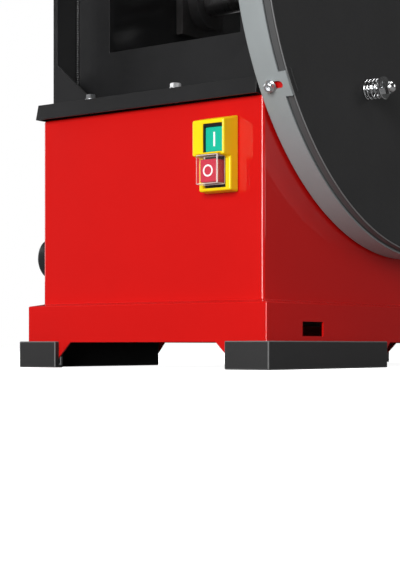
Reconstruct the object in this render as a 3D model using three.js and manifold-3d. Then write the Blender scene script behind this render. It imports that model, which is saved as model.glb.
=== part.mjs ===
// Kinetic log splitter: a flywheel on the right-hand side of a sheet-steel cabinet drives a pinion,
// and a lever presses the ram's rack onto it.  Millimetres, +Z up, operator's end at low Y.
// While it is built, x = 0 is the middle of the cabinet, y = 0 its front wall and z = 0 the floor.

import * as THREE from 'three';
import { mergeVertices } from 'three/addons/utils/BufferGeometryUtils.js';
import Module from 'manifold-3d';

const wasm = await Module();
wasm.setup();

// ------------------------------------------------------------------ driving dimensions

const GAP = 0.3; // left between pieces that touch
const RUNNING = 0.08; // radial clearance of a shaft in its bearing

const CABINET_WIDTH = 300;
const CABINET_LENGTH = 700;
const CABINET_TOP = 276.2;
const SHEET = 2;
const FLANGE = 22; // inward fold round the top of the cabinet
const SKIRT_OUT = 12; // how far the skirt stands out from the walls
const LEDGE_TOP = 71;
const LEDGE_EDGE = 66;
const SKIRT_BOTTOM = 28;
const END_LEG = 63; // width of a leg along the end of the cabinet, at the skirt's lower edge
const SIDE_LEG = 245; // the same along its side
const TIE_SLOT = { y: 53, length: 40, z: 34, height: 15 };
const PAN_Z = 52; // underside of the floor pan

const CAP_OUT = 7; // foot cap's outer face beyond the skirt
const CAP_IN = 4; // foot cap's inner wall
const CAP_FLOOR = 3.7;
const CAP_HEIGHT = 29;
const CAP_END = 54; // foot cap's length along the end and along the side
const CAP_SIDE = 234;

const DECK_TOP = 293;
const DECK_RIM = 16.5;
const DECK_OUT = 8; // rim's overhang in front and behind
const DECK_LEFT_OUT = 0.5;
const DECK_FLARE = 2;
const DECK_RIGHT_INSET = 2.6; // the rim stops short of the guard
const DECK_BOLT_X = [-82, 36];
const DECK_BOLT_IN = 3;

const SHAFT_Y = 269;
const SHAFT_R = 15;
const BEARING_SIZE = 84;
const BEARING_DEPTH = 24;
const BEARING_BOSS_R = 31;

const PLATE = 6; // pedestal's plate
const PEDESTAL_LEFT = -144;
const PEDESTAL_RIGHT = 138;
const PEDESTAL_FRONT = 10;
const PEDESTAL_LENGTH = 550;
const PEDESTAL_OVER_SHAFT = 17;
const PEDESTAL_FOOT = 30; // width of its base flanges
const GUSSET_FOOT = 54;
const GUSSET_HEIGHT = 47;
const CROSS_PLATE_SETBACK = 34;

const MODULE = 4; // gear tooth size
const PINION_TEETH = 16;
const GEAR_WIDTH = 30;
const RACK_LIFT = 5.5; // rack's rest height above full mesh with the pinion, so that its tips clear
const RACK_BODY = 15.5;
const STROKE = 360;

const BEAM_FRONT = -150;
const BEAM_PAST_WEDGE = 25;
const BEAM_WEB = 8;
const BEAM_CHANNEL = 40; // clear width between the webs
const BEAM_CHANNEL_HEIGHT = 75; // pedestal's top to the underside of the beam's plate
const BEAM_PLATE = 12;
const BEAM_WIDTH = 150;
const SLOT_WIDTH = 18;

const RAM_FACE_Y = 300; // push plate's face with the ram drawn back
const RAM_SHOE = { length: 100, width: 120, height: 18 };
const TONGUE = { from: 230, to: 290, width: 16 };
const PUSH_PLATE = { width: 140, height: 150, thick: 16, rib: 12 };
const WEDGE = { edgeY: 700, length: 95, thick: 46, height: 160, flange: 12, flangeWidth: 110 };

const TABLE = { from: 322, wedgeGap: 10, flat: 62, rise: 46, out: 52, thick: 3, guardGap: 5 };

const LEVER_Y = 200;
const LEVER_PIN_R = 8;
const LEVER_X = -168;
const LEVER_HEIGHT = 300; // above the pedestal's top
const ROLLER_R = 11;

const GUARD_R = 330;
const GUARD_LIFT = 123; // between the floor and the guard
const GUARD_GAP = 2; // between the right-hand wall and the guard's back
const GUARD_DEPTH = 28;
const GUARD_SHEET = 2;
const EAR_REACH = 8.5; // ears that carry on past the front edge of the guard's ring
const EAR_HALF_ANGLE = 2;
const EAR_ANGLES = [211.4, 331.4, 91.4];
const LUG_HALF_ANGLE = 1.8;
const COVER_INSET = 2.6;
const COVER_DEPTH = 8.4;
const COVER_TRAVEL = 10;
const EAR_SLOT = { from: 11, to: 19 + COVER_TRAVEL, width: 8 };
const STUD_PAST_FLYWHEEL = 26;
const STUD_ANGLES = [230, 320, 50, 140];
const STUD_R = 4;
const SPRING = { length: 19.5, outer: 11, inner: 6 };
const WASHER = { r: 12, thick: 2 };
const CAP_NUT = { across: 13, height: 7, dome: 5.5 };

const FLYWHEEL_R = 180;
const FLYWHEEL_WIDTH = 22;
const FLYWHEEL_RIM = 30;
const FLYWHEEL_WEB = 9;
const FLYWHEEL_HOLES = 5;
const HUB_R = 34;
const PULLEY_R = 27;
const PULLEY_IN = 45; // motor shaft's centre inside the guard's radius
const BELT = { thick: 8, width: 6.4 };
const GROOVE = { depth: 6, mouth: 12, floor: 7.2 };

const MOTOR_R = 74;
const MOTOR_LENGTH = 200;
const MOTOR_SHAFT_R = 9.5;
const MOTOR_WALL_GAP = 34;

const SWITCH = { x: 99.5, width: 40, bottom: 180, top: 258, step: 216, lowerDepth: 14.5, upperDepth: 26 };
const START = { x: 106, z: 232, width: 22, height: 25, recess: 2.5 };
const STOP = { x: 99.5, z: 200.6, width: 20, height: 23, front: 25.5 };
const BUTTON_BACK = -1;
const BUTTON_TRAVEL = 3;
const STOP_CAP = { width: 27, height: 27.5, wall: 1.2, front: 28 };
const BUTTON_GAP = 0.5;

const INLET = { y: 39, z: 124, r: 24, out: 24, neck: 17, socket: 19, depth: 18 };

const FINE = 72; // sides of the flywheel's guard
const MEDIUM = 40; // sides of the flywheel
const ROUND = 24; // sides of shafts and bearings
const SMALL = 12; // sides of small fasteners

// ------------------------------------------------------------------ values that follow from them

const LEFT = -CABINET_WIDTH / 2;
const RIGHT = CABINET_WIDTH / 2;
const BACK = CABINET_LENGTH;
const DECK_UNDER = DECK_TOP - SHEET;
const PITCH_R = (MODULE * PINION_TEETH) / 2;
const TOOTH_TIP = MODULE;
const TOOTH_ROOT = MODULE * 1.25;
const SHAFT_Z = GUARD_R + GUARD_LIFT;
const PEDESTAL_TOP = SHAFT_Z + PEDESTAL_OVER_SHAFT;
const BEAM_UNDER_PLATE = PEDESTAL_TOP + BEAM_CHANNEL_HEIGHT;
const RACK_PITCH_Z = SHAFT_Z + PITCH_R + RACK_LIFT + MODULE;
const RACK_TEETH_Z = RACK_PITCH_Z - TOOTH_TIP;
const RACK_TOP = RACK_PITCH_Z + TOOTH_ROOT + RACK_BODY;
const BEAM_TOP = BEAM_UNDER_PLATE + BEAM_PLATE;
const BEAM_BACK = WEDGE.edgeY + WEDGE.length + BEAM_PAST_WEDGE;
const TABLE_END = WEDGE.edgeY - TABLE.wedgeGap;
const LEVER_TOP = PEDESTAL_TOP + LEVER_HEIGHT;
const GUARD_BACK = RIGHT + GUARD_GAP;
const GUARD_FRONT = GUARD_BACK + GUARD_DEPTH;
const COVER_BACK = GUARD_FRONT + GAP;
const COVER_FACE = COVER_BACK + COVER_DEPTH;
const COVER_R = GUARD_R - COVER_INSET;
const STUD_RADIUS = FLYWHEEL_R + STUD_PAST_FLYWHEEL;
const FLYWHEEL_X = GUARD_BACK + GUARD_SHEET + 4;
const BELT_X = FLYWHEEL_X + FLYWHEEL_WIDTH / 2;
const PULLEY_DROP = GUARD_R - PULLEY_IN;
const MOTOR_Z = SHAFT_Z - PULLEY_DROP;
const LEVER_Z = RACK_TOP + ROLLER_R + 1.2;

// ------------------------------------------------------------------ finishes

const finish = (color, roughness, metalness) => ({ color, roughness, metalness });
const RED_PAINT = finish(0xd11512, 0.38, 0.1);
const BLACK_PAINT = finish(0x1c1c1d, 0.5, 0.1);
const GREY_PAINT = finish(0x9b9b9a, 0.45, 0.3);
const TEXTURED_BLACK = finish(0x2a2a2b, 0.8, 0.0);
const STEEL = finish(0xb4b6b8, 0.35, 1.0);
const CHROME = finish(0xe0e2e4, 0.12, 1.0);
const CAST_IRON = finish(0x4a4b4c, 0.6, 0.7);
const RUBBER = finish(0x232324, 0.85, 0.0);
const YELLOW = finish(0xf8dc12, 0.4, 0.0);
const GREEN = finish(0x1fae8e, 0.35, 0.0);
const RED_PLASTIC = finish(0xc4203a, 0.35, 0.0);
const CLEAR = finish(0xf2b9b4, 0.1, 0.0);

// ------------------------------------------------------------------ geometry helpers

function toSolid(geometry) {
  const bare = geometry.clone();
  bare.deleteAttribute('normal');
  bare.deleteAttribute('uv');
  const merged = mergeVertices(bare, 1e-4);
  const vertProperties = new Float32Array(merged.attributes.position.array);
  const triVerts = new Uint32Array(merged.index.array);
  return new wasm.Manifold(new wasm.Mesh({ numProp: 3, vertProperties, triVerts }));
}

function toGeometry(solid) {
  const mesh = solid.getMesh();
  const geometry = new THREE.BufferGeometry();
  geometry.setAttribute('position', new THREE.BufferAttribute(new Float32Array(mesh.vertProperties), 3));
  geometry.setIndex(new THREE.BufferAttribute(new Uint32Array(mesh.triVerts), 1));
  geometry.computeVertexNormals();
  return geometry;
}

const join = (first, ...others) => others.reduce((sum, solid) => sum.add(solid), first);
const cut = (first, ...others) => others.reduce((rest, solid) => rest.subtract(solid), first);

function box([x0, x1], [y0, y1], [z0, z1]) {
  const geometry = new THREE.BoxGeometry(x1 - x0, y1 - y0, z1 - z0);
  return toSolid(geometry.translate((x0 + x1) / 2, (y0 + y1) / 2, (z0 + z1) / 2));
}

// A flat outline pushed straight along an axis: drawn in (Y, Z) along x, (X, Z) along y, (X, Y) along z.
function extrude(points, axis, from, to) {
  const shape = new THREE.Shape(points.map(([u, v]) => new THREE.Vector2(u, v)));
  const geometry = new THREE.ExtrudeGeometry(shape, { depth: to - from, bevelEnabled: false });
  geometry.translate(0, 0, from);
  if (axis === 'x') geometry.rotateX(Math.PI / 2).rotateZ(Math.PI / 2);
  if (axis === 'y') geometry.rotateX(Math.PI / 2).scale(1, -1, 1);
  return axis === 'y' ? toSolid(faceOutwards(geometry)) : toSolid(geometry);
}

// Turns every triangle round, after a mirroring.
function faceOutwards(geometry) {
  const flat = geometry.index ? geometry.toNonIndexed() : geometry;
  const corners = flat.attributes.position.array;
  for (let i = 0; i < corners.length; i += 9) {
    for (let k = 0; k < 3; k += 1) {
      const second = corners[i + 3 + k];
      corners[i + 3 + k] = corners[i + 6 + k];
      corners[i + 6 + k] = second;
    }
  }
  return flat;
}

// A round solid.  Its profile runs (radius, distance along the axis) and starts and ends on the axis
// or closes on itself; its centre is given in the two directions across the axis.
function turn(profile, axis, [a, b], sides = ROUND) {
  const points = profile.map(([r, along]) => new THREE.Vector2(r, along));
  const geometry = new THREE.LatheGeometry(points, sides);
  if (axis === 'x') geometry.rotateZ(-Math.PI / 2).translate(0, a, b);
  if (axis === 'y') geometry.translate(a, 0, b);
  if (axis === 'z') geometry.rotateX(Math.PI / 2).translate(a, b, 0);
  return toSolid(geometry);
}

const rod = (r, axis, centre, from, to, sides = ROUND) =>
  turn([[0, from], [r, from], [r, to], [0, to]], axis, centre, sides);

// A bore whose flat sides clear a shaft of radius r.
const bore = (r, axis, centre, from, to, sides = ROUND) =>
  rod(r / Math.cos(Math.PI / sides), axis, centre, from, to, sides);

const circlePoint = (radius, degrees, y = SHAFT_Y, z = SHAFT_Z) => {
  const angle = THREE.MathUtils.degToRad(degrees);
  return [y + radius * Math.cos(angle), z + radius * Math.sin(angle)];
};

const model = new THREE.Group();

function addPiece(name, solid, look) {
  const mesh = new THREE.Mesh(toGeometry(solid), new THREE.MeshStandardMaterial(look));
  mesh.name = name;
  model.add(mesh);
}

// ------------------------------------------------------------------ cabinet, feet and deck

const centred = (middle, width) => [middle - width / 2, middle + width / 2];

// The cabinet's outside, or its inside when inset by the sheet: a skirt, a sloped ledge and the walls.
function cabinetBody(inset, floor, top) {
  const side = (low, high) => {
    const skirt = SKIRT_OUT - inset;
    return [
      [low - skirt, floor], [high + skirt, floor], [high + skirt, LEDGE_EDGE - inset],
      [high - inset, LEDGE_TOP - inset], [high - inset, top], [low + inset, top],
      [low + inset, LEDGE_TOP - inset], [low - skirt, LEDGE_EDGE - inset],
    ];
  };
  const across = extrude(side(LEFT, RIGHT), 'y', -SKIRT_OUT - 1, BACK + SKIRT_OUT + 1);
  const along = extrude(side(0, BACK), 'x', LEFT - SKIRT_OUT - 1, RIGHT + SKIRT_OUT + 1);
  return across.intersect(along);
}

// The opening between two legs: square edges at 45 degrees down to the floor.
const legOpening = (low, high) => [
  [low, SKIRT_BOTTOM], [low - SKIRT_BOTTOM - 1, -1], [high + SKIRT_BOTTOM + 1, -1], [high, SKIRT_BOTTOM],
];
const SKIRT_LEFT = LEFT - SKIRT_OUT;
const SKIRT_RIGHT = RIGHT + SKIRT_OUT;
const SKIRT_FRONT = -SKIRT_OUT;
const SKIRT_BACK = BACK + SKIRT_OUT;

addPiece('cabinet_shell', cut(
  cabinetBody(0, CAP_FLOOR + GAP, CABINET_TOP),
  cabinetBody(SHEET, 0, CABINET_TOP - SHEET),
  box([LEFT + FLANGE, RIGHT - FLANGE], [FLANGE, BACK - FLANGE], [CABINET_TOP - SHEET - 1, CABINET_TOP + 1]),
  extrude(legOpening(SKIRT_LEFT + END_LEG, SKIRT_RIGHT - END_LEG), 'y', SKIRT_FRONT - 1, SKIRT_BACK + 1),
  extrude(legOpening(SKIRT_FRONT + SIDE_LEG, SKIRT_BACK - SIDE_LEG), 'x', SKIRT_LEFT - 1, SKIRT_RIGHT + 1),
  ...[SKIRT_LEFT, SKIRT_RIGHT].map((x) => box(
    [x - 3, x + 3],
    [TIE_SLOT.y, TIE_SLOT.y + TIE_SLOT.length],
    [TIE_SLOT.z, TIE_SLOT.z + TIE_SLOT.height])),
  box(centred(SWITCH.x, SWITCH.width - 4), [-1, SHEET + 1], [SWITCH.bottom + 6, SWITCH.top - 6]),
  bore(INLET.neck + 0.5, 'x', [INLET.y, INLET.z], LEFT - 1, LEFT + SHEET + 1),
  bore(MOTOR_SHAFT_R + 8, 'x', [SHAFT_Y, MOTOR_Z], RIGHT - SHEET - 1, RIGHT + 1),
  ...ventSlots(BACK - SHEET - 1, BACK + 1),
), RED_PAINT);

// Louvre slots in the rear wall.
function ventSlots(from, to) {
  const slots = [];
  for (const x of [-60, 60]) {
    for (let row = 0; row < 5; row += 1) {
      const z = 150 + row * 18;
      slots.push(box(centred(x, 80), [from, to], [z, z + 6]));
    }
  }
  return slots;
}

addPiece('base_pan', box(
  [SKIRT_LEFT + SHEET + GAP, SKIRT_RIGHT - SHEET - GAP],
  [SKIRT_FRONT + SHEET + GAP, SKIRT_BACK - SHEET - GAP],
  [PAN_Z, PAN_Z + SHEET],
), BLACK_PAINT);

// An L-shaped rubber shoe that takes the bottom of a leg in a slot.
function footCap(right, back) {
  const arm = (u0, u1, length, low, high, open) => {
    const x = right ? [SKIRT_RIGHT - u1, SKIRT_RIGHT - u0] : [SKIRT_LEFT + u0, SKIRT_LEFT + u1];
    const y = back ? [SKIRT_BACK - length, SKIRT_BACK - open] : [SKIRT_FRONT + open, SKIRT_FRONT + length];
    return box(x, y, [low, high]);
  };
  const thick = SHEET + CAP_IN + GAP;
  const outer = join(
    arm(-CAP_OUT, CAP_END - CAP_OUT, thick, 0, CAP_HEIGHT, -CAP_OUT),
    arm(-CAP_OUT, thick, CAP_SIDE - CAP_OUT, 0, CAP_HEIGHT, -CAP_OUT),
  );
  const slot = join(
    arm(-GAP, CAP_END, SHEET + GAP, CAP_FLOOR, CAP_HEIGHT + 1, -GAP),
    arm(-GAP, SHEET + GAP, CAP_SIDE, CAP_FLOOR, CAP_HEIGHT + 1, -GAP),
  );
  return cut(outer, slot);
}
for (const [name, right, back] of [
  ['foot_cap_front_left', false, false], ['foot_cap_front_right', true, false],
  ['foot_cap_rear_left', false, true], ['foot_cap_rear_right', true, true],
]) {
  addPiece(name, footCap(right, back), RUBBER);
}

// The deck: a plate with a flared rim, and a stiffening frame that stands on the cabinet's flange.
const DECK_RIM_Z = DECK_TOP - DECK_RIM;
const deckOutline = (inset, floor) => {
  const sloped = (low, high, lowFlare, highFlare) => [
    [low + inset - lowFlare, floor], [high - inset + highFlare, floor],
    [high - inset, DECK_TOP - inset], [low + inset, DECK_TOP - inset],
  ];
  const lowX = LEFT - DECK_LEFT_OUT;
  const highX = RIGHT - DECK_RIGHT_INSET;
  const across = extrude(sloped(lowX, highX, DECK_FLARE, 0), 'y', -2 * DECK_OUT, BACK + 2 * DECK_OUT);
  const ends = sloped(-DECK_OUT, BACK + DECK_OUT, DECK_FLARE, DECK_FLARE);
  return across.intersect(extrude(ends, 'x', LEFT - 2 * DECK_OUT, RIGHT));
};
const frameX = [LEFT + 8, RIGHT - 8];
const frameY = [8, BACK - 8];
const deckBolts = [];
for (const x of DECK_BOLT_X) deckBolts.push([x, DECK_BOLT_IN], [x, BACK - DECK_BOLT_IN]);
const DECK_BOLT_R = 3;
addPiece('deck_tray', cut(
  join(
    cut(deckOutline(0, DECK_RIM_Z), deckOutline(SHEET, DECK_RIM_Z - 1)),
    cut(
      box(frameX, frameY, [CABINET_TOP + GAP, DECK_UNDER + 0.5]),
      box([frameX[0] + SHEET, frameX[1] - SHEET], [frameY[0] + 14, frameY[1] - 14], [0, DECK_UNDER + 1]),
    ),
  ),
  ...deckBolts.map(([x, y]) => bore(DECK_BOLT_R + 0.4, 'z', [x, y], 0, DECK_TOP + 1, SMALL)),
), BLACK_PAINT);

// A hexagon-head bolt with its washer, standing head up on a surface at z.
function hexBolt(x, y, z, shankR, across, length) {
  const corner = across / 2 / Math.cos(Math.PI / 6);
  const washer = rod(across * 0.68, 'z', [x, y], z, z + 1.5, SMALL);
  const head = rod(corner, 'z', [x, y], z + 1, z + 1.5 + across * 0.5, 6);
  return join(rod(shankR, 'z', [x, y], z - length, z + 1, SMALL), washer, head);
}
deckBolts.forEach(([x, y], i) => {
  addPiece(`deck_bolt_${i + 1}`, hexBolt(x, y, DECK_TOP + GAP, DECK_BOLT_R, 10, 14), STEEL);
});

// ------------------------------------------------------------------ pedestal and drive

const PEDESTAL_Z = DECK_TOP + GAP;
const pedestalY = [PEDESTAL_FRONT, PEDESTAL_FRONT + PEDESTAL_LENGTH];
const leftPlate = [PEDESTAL_LEFT, PEDESTAL_LEFT + PLATE];
const rightPlate = [PEDESTAL_RIGHT - PLATE, PEDESTAL_RIGHT];
const pedestalBolts = [];
for (const y of [60, 460]) {
  pedestalBolts.push([leftPlate[1] + PEDESTAL_FOOT / 2, y], [rightPlate[0] - PEDESTAL_FOOT / 2, y]);
}
const LEVER_EAR = { halfWidth: 24, above: 18 };

function pedestalFrame() {
  const [frontY, backY] = pedestalY;
  const ear = LEVER_EAR.halfWidth;
  const leftOutline = [
    [frontY, PEDESTAL_Z], [backY, PEDESTAL_Z], [backY, PEDESTAL_TOP], [LEVER_Y + 2 * ear, PEDESTAL_TOP],
    [LEVER_Y + ear, LEVER_Z], [LEVER_Y + ear * 0.6, LEVER_Z + LEVER_EAR.above],
    [LEVER_Y - ear * 0.6, LEVER_Z + LEVER_EAR.above], [LEVER_Y - ear, LEVER_Z],
    [LEVER_Y - 2 * ear, PEDESTAL_TOP], [frontY, PEDESTAL_TOP],
  ];
  const footZ = [PEDESTAL_Z, PEDESTAL_Z + 4];
  const window = [
    [345, PEDESTAL_Z + 40], [480, PEDESTAL_Z + 40], [480, PEDESTAL_TOP - 40], [345, PEDESTAL_TOP - 40],
  ];
  const crossX = [leftPlate[0] + 1, rightPlate[1] - 1];
  const crossPlates = [frontY + CROSS_PLATE_SETBACK, backY - CROSS_PLATE_SETBACK - PLATE].map((y) =>
    box(crossX, [y, y + PLATE], [PEDESTAL_Z, PEDESTAL_TOP]));
  const gussets = [];
  for (const [inner, side] of [[leftPlate[1] - 1, 1], [rightPlate[0] + 1, -1]]) {
    for (const y of [frontY, backY - 4]) {
      const outline = [
        [inner, PEDESTAL_Z], [inner + side * GUSSET_FOOT, PEDESTAL_Z], [inner, PEDESTAL_Z + GUSSET_HEIGHT],
      ];
      gussets.push(extrude(side > 0 ? outline : outline.reverse(), 'y', y, y + 4));
    }
  }
  const solid = join(
    extrude(leftOutline, 'x', ...leftPlate),
    box(rightPlate, pedestalY, [PEDESTAL_Z, PEDESTAL_TOP]),
    box([leftPlate[1] - 1, leftPlate[1] + PEDESTAL_FOOT], pedestalY, footZ),
    box([rightPlate[0] - PEDESTAL_FOOT, rightPlate[0] + 1], pedestalY, footZ),
    ...crossPlates,
    ...gussets,
  );
  return cut(
    solid,
    extrude(window, 'x', PEDESTAL_LEFT - 1, PEDESTAL_RIGHT + 1),
    box([-90, 90], [frontY, backY], [PEDESTAL_Z + 60, PEDESTAL_TOP - 50]),
    bore(SHAFT_R + 4, 'x', [SHAFT_Y, SHAFT_Z], PEDESTAL_LEFT - 1, PEDESTAL_RIGHT + 1),
    bore(LEVER_PIN_R + RUNNING, 'x', [LEVER_Y, LEVER_Z], PEDESTAL_LEFT - 1, PEDESTAL_LEFT + PLATE + 1),
    ...pedestalBolts.map(([x, y]) => bore(4.4, 'z', [x, y], PEDESTAL_Z - 1, PEDESTAL_Z + 5, SMALL)),
  );
}
addPiece('pedestal_frame', pedestalFrame(), BLACK_PAINT);
pedestalBolts.forEach(([x, y], i) => {
  addPiece(`pedestal_bolt_${i + 1}`, hexBolt(x, y, PEDESTAL_Z + 4 + GAP, 4, 13, 3.5), STEEL);
});

// A flanged bearing block on the inner face of a pedestal plate; facing is +1 or -1 along x.
function bearing(plateX, facing) {
  const near = plateX + facing * GAP;
  const span = (depth) => (facing > 0 ? [near, near + depth] : [near - depth, near]);
  const half = BEARING_SIZE / 2;
  const square = box(span(10), [SHAFT_Y - half, SHAFT_Y + half], [SHAFT_Z - half, SHAFT_Z + half - 26]);
  const boss = rod(BEARING_BOSS_R, 'x', [SHAFT_Y, SHAFT_Z], ...span(BEARING_DEPTH));
  return cut(join(square, boss), bore(SHAFT_R + RUNNING, 'x', [SHAFT_Y, SHAFT_Z], near - 40, near + 40));
}
addPiece('bearing_left', bearing(leftPlate[1], 1), CAST_IRON);
addPiece('bearing_right', bearing(rightPlate[0], -1), CAST_IRON);

const SHAFT_CENTRE = [SHAFT_Y, SHAFT_Z];
const shaftX = [PEDESTAL_LEFT - 8, FLYWHEEL_X + FLYWHEEL_WIDTH + 3];
addPiece('drive_shaft', rod(SHAFT_R, 'x', SHAFT_CENTRE, ...shaftX), STEEL);

function pinion() {
  const outline = [];
  for (let tooth = 0; tooth < PINION_TEETH; tooth += 1) {
    const middle = (360 / PINION_TEETH) * tooth;
    for (const [radius, offset] of [
      [PITCH_R - TOOTH_ROOT, -7.2], [PITCH_R + TOOTH_TIP, -2.6],
      [PITCH_R + TOOTH_TIP, 2.6], [PITCH_R - TOOTH_ROOT, 7.2],
    ]) {
      outline.push(circlePoint(radius, middle + offset));
    }
  }
  const half = GEAR_WIDTH / 2;
  return cut(extrude(outline, 'x', -half, half), bore(SHAFT_R + GAP, 'x', SHAFT_CENTRE, -half - 1, half + 1));
}
addPiece('pinion', pinion(), STEEL);

// Half profile of a V-belt groove in a rim of radius r, seen from its middle plane.
const groove = (r, middle) => [
  [r, middle - GROOVE.mouth / 2], [r - GROOVE.depth, middle - GROOVE.floor / 2],
  [r - GROOVE.depth, middle + GROOVE.floor / 2], [r, middle + GROOVE.mouth / 2],
];

function flywheel() {
  const near = FLYWHEEL_X;
  const far = FLYWHEEL_X + FLYWHEEL_WIDTH;
  const web = centred(BELT_X, FLYWHEEL_WEB);
  const rim = FLYWHEEL_R - FLYWHEEL_RIM;
  const inner = SHAFT_R + GAP + 0.1;
  const profile = [
    [inner, near], [HUB_R, near], [HUB_R, web[0]], [rim, web[0]], [rim, near], [FLYWHEEL_R, near],
    ...groove(FLYWHEEL_R, BELT_X),
    [FLYWHEEL_R, far], [rim, far], [rim, web[1]], [HUB_R, web[1]], [HUB_R, far], [inner, far], [inner, near],
  ];
  const holes = [];
  for (let i = 0; i < FLYWHEEL_HOLES; i += 1) {
    const middle = circlePoint((HUB_R + rim) / 2, 90 + (360 / FLYWHEEL_HOLES) * i);
    holes.push(rod((rim - HUB_R) * 0.26, 'x', middle, web[0] - 1, web[1] + 1, SMALL));
  }
  return cut(turn(profile, 'x', SHAFT_CENTRE, MEDIUM), ...holes);
}
addPiece('flywheel', flywheel(), RED_PAINT);

const MOTOR_CENTRE = [SHAFT_Y, MOTOR_Z];
const motorRight = RIGHT - SHEET - MOTOR_WALL_GAP;
const motorLeft = motorRight - MOTOR_LENGTH;
addPiece('motor_pulley', turn([
  [MOTOR_SHAFT_R + GAP, BELT_X - 10], [PULLEY_R, BELT_X - 10],
  ...groove(PULLEY_R, BELT_X),
  [PULLEY_R, BELT_X + 10], [MOTOR_SHAFT_R + GAP, BELT_X + 10], [MOTOR_SHAFT_R + GAP, BELT_X - 10],
], 'x', MOTOR_CENTRE), CAST_IRON);
addPiece('motor_shaft', rod(MOTOR_SHAFT_R, 'x', MOTOR_CENTRE, motorRight - 40, BELT_X + 11), STEEL);

// The belt's loop round both grooves, offset outwards from their floors.
function beltLoop(offset) {
  const big = FLYWHEEL_R - GROOVE.depth + offset;
  const small = PULLEY_R - GROOVE.depth + offset;
  const tangent = THREE.MathUtils.radToDeg(Math.acos((big - small) / PULLEY_DROP));
  const points = [];
  for (let i = 0; i <= 36; i += 1) {
    points.push(circlePoint(big, -90 + tangent + ((360 - 2 * tangent) * i) / 36));
  }
  for (let i = 0; i <= 12; i += 1) {
    points.push(circlePoint(small, 270 - tangent + (2 * tangent * i) / 12, SHAFT_Y, MOTOR_Z));
  }
  return points;
}
const beltX = centred(BELT_X, BELT.width);
addPiece('drive_belt', cut(
  extrude(beltLoop(BELT.thick), 'x', ...beltX),
  extrude(beltLoop(3 * GAP), 'x', beltX[0] - 1, beltX[1] + 1),
), RUBBER);

function motorBody() {
  const barrel = rod(MOTOR_R, 'x', MOTOR_CENTRE, motorLeft, motorRight);
  const foot = (x) => box([x, x + 34], [SHAFT_Y - 62, SHAFT_Y + 62], [PAN_Z + SHEET + GAP, MOTOR_Z - 40]);
  const capacitor = box(
    centred((motorLeft + motorRight) / 2, 90),
    [SHAFT_Y + MOTOR_R - 12, SHAFT_Y + MOTOR_R + 46],
    centred(MOTOR_Z, 56));
  const bearingBore = bore(MOTOR_SHAFT_R + RUNNING, 'x', MOTOR_CENTRE, motorRight - 42, motorRight + 1);
  return cut(join(barrel, capacitor, foot(motorLeft + 24), foot(motorRight - 58)), bearingBore);
}
addPiece('motor_body', motorBody(), CAST_IRON);

// ------------------------------------------------------------------ flywheel guard

// Carries a solid made beside the shaft, on its +Y side, round the shaft's axis.
function aroundShaft(solid, degrees) {
  const geometry = toGeometry(solid);
  geometry.translate(0, -SHAFT_Y, -SHAFT_Z);
  geometry.rotateX(THREE.MathUtils.degToRad(degrees));
  geometry.translate(0, SHAFT_Y, SHAFT_Z);
  return toSolid(geometry);
}

// A ring round the shaft.
function hoop(outer, inner, from, to) {
  const band = [[inner, from], [outer, from], [outer, to], [inner, to], [inner, from]];
  return turn(band, 'x', SHAFT_CENTRE, FINE);
}

// The part of such a ring that lies within an angle on each side of a direction.
function sector(outer, inner, from, to, degrees, halfAngle) {
  const ring = hoop(outer, inner, from, to);
  const sides = [-halfAngle, halfAngle].map((turned) => circlePoint(1.2 * outer, degrees + turned));
  return ring.intersect(extrude([SHAFT_CENTRE, ...sides], 'x', from - 1, to + 1));
}

function guardDrum() {
  const inner = GUARD_R - GUARD_SHEET;
  const drum = hoop(GUARD_R, inner, GUARD_BACK, GUARD_FRONT);
  const ears = EAR_ANGLES.map((degrees) =>
    sector(GUARD_R, inner, GUARD_FRONT - 2, GUARD_FRONT + EAR_REACH, degrees, EAR_HALF_ANGLE));
  const half = EAR_SLOT.width / 2;
  const ends = [GUARD_BACK + EAR_SLOT.from + half, GUARD_BACK + EAR_SLOT.to - half];
  const depth = [SHAFT_Y + inner - 6, SHAFT_Y + GUARD_R + 6];
  const slot = join(
    box(ends, depth, centred(SHAFT_Z, EAR_SLOT.width)),
    ...ends.map((x) => rod(half, 'y', [x, SHAFT_Z], ...depth, SMALL)),
  );
  return cut(join(drum, ...ears), ...EAR_ANGLES.map((degrees) => aroundShaft(slot, degrees)));
}
addPiece('guard_drum', guardDrum(), GREY_PAINT);

const guardFloor = GUARD_BACK + GUARD_SHEET;
addPiece('guard_back', cut(
  hoop(GUARD_R - GUARD_SHEET - GAP, SHAFT_R + 5, GUARD_BACK, guardFloor),
  bore(MOTOR_SHAFT_R + 8, 'x', MOTOR_CENTRE, GUARD_BACK - 1, guardFloor + 1),
), GREY_PAINT);

const SCREW_X = GUARD_BACK + EAR_SLOT.from + EAR_SLOT.width / 2;
const studCentres = STUD_ANGLES.map((degrees) => circlePoint(STUD_RADIUS, degrees));
const coverInner = COVER_R - GUARD_SHEET;
function guardCover() {
  const x = [COVER_FACE - GUARD_SHEET, COVER_FACE];
  return cut(
    rod(coverInner - GAP, 'x', SHAFT_CENTRE, ...x, FINE),
    ...studCentres.map((centre) => bore(STUD_R + 0.8, 'x', centre, x[0] - 1, x[1] + 1, SMALL)),
  );
}
addPiece('guard_cover', guardCover(), TEXTURED_BLACK);

function coverRim() {
  const lugs = EAR_ANGLES.map((degrees) =>
    sector(COVER_R, coverInner - 1, SCREW_X - 6, COVER_BACK + 4, degrees, LUG_HALF_ANGLE));
  const screwHole = bore(3.3, 'y', [SCREW_X, SHAFT_Z], SHAFT_Y + COVER_R - 20, SHAFT_Y + COVER_R + 5, SMALL);
  return cut(
    join(hoop(COVER_R, coverInner, COVER_BACK, COVER_FACE), ...lugs),
    ...EAR_ANGLES.map((degrees) => aroundShaft(screwHole, degrees)),
  );
}
addPiece('cover_rim', coverRim(), TEXTURED_BLACK);

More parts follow.
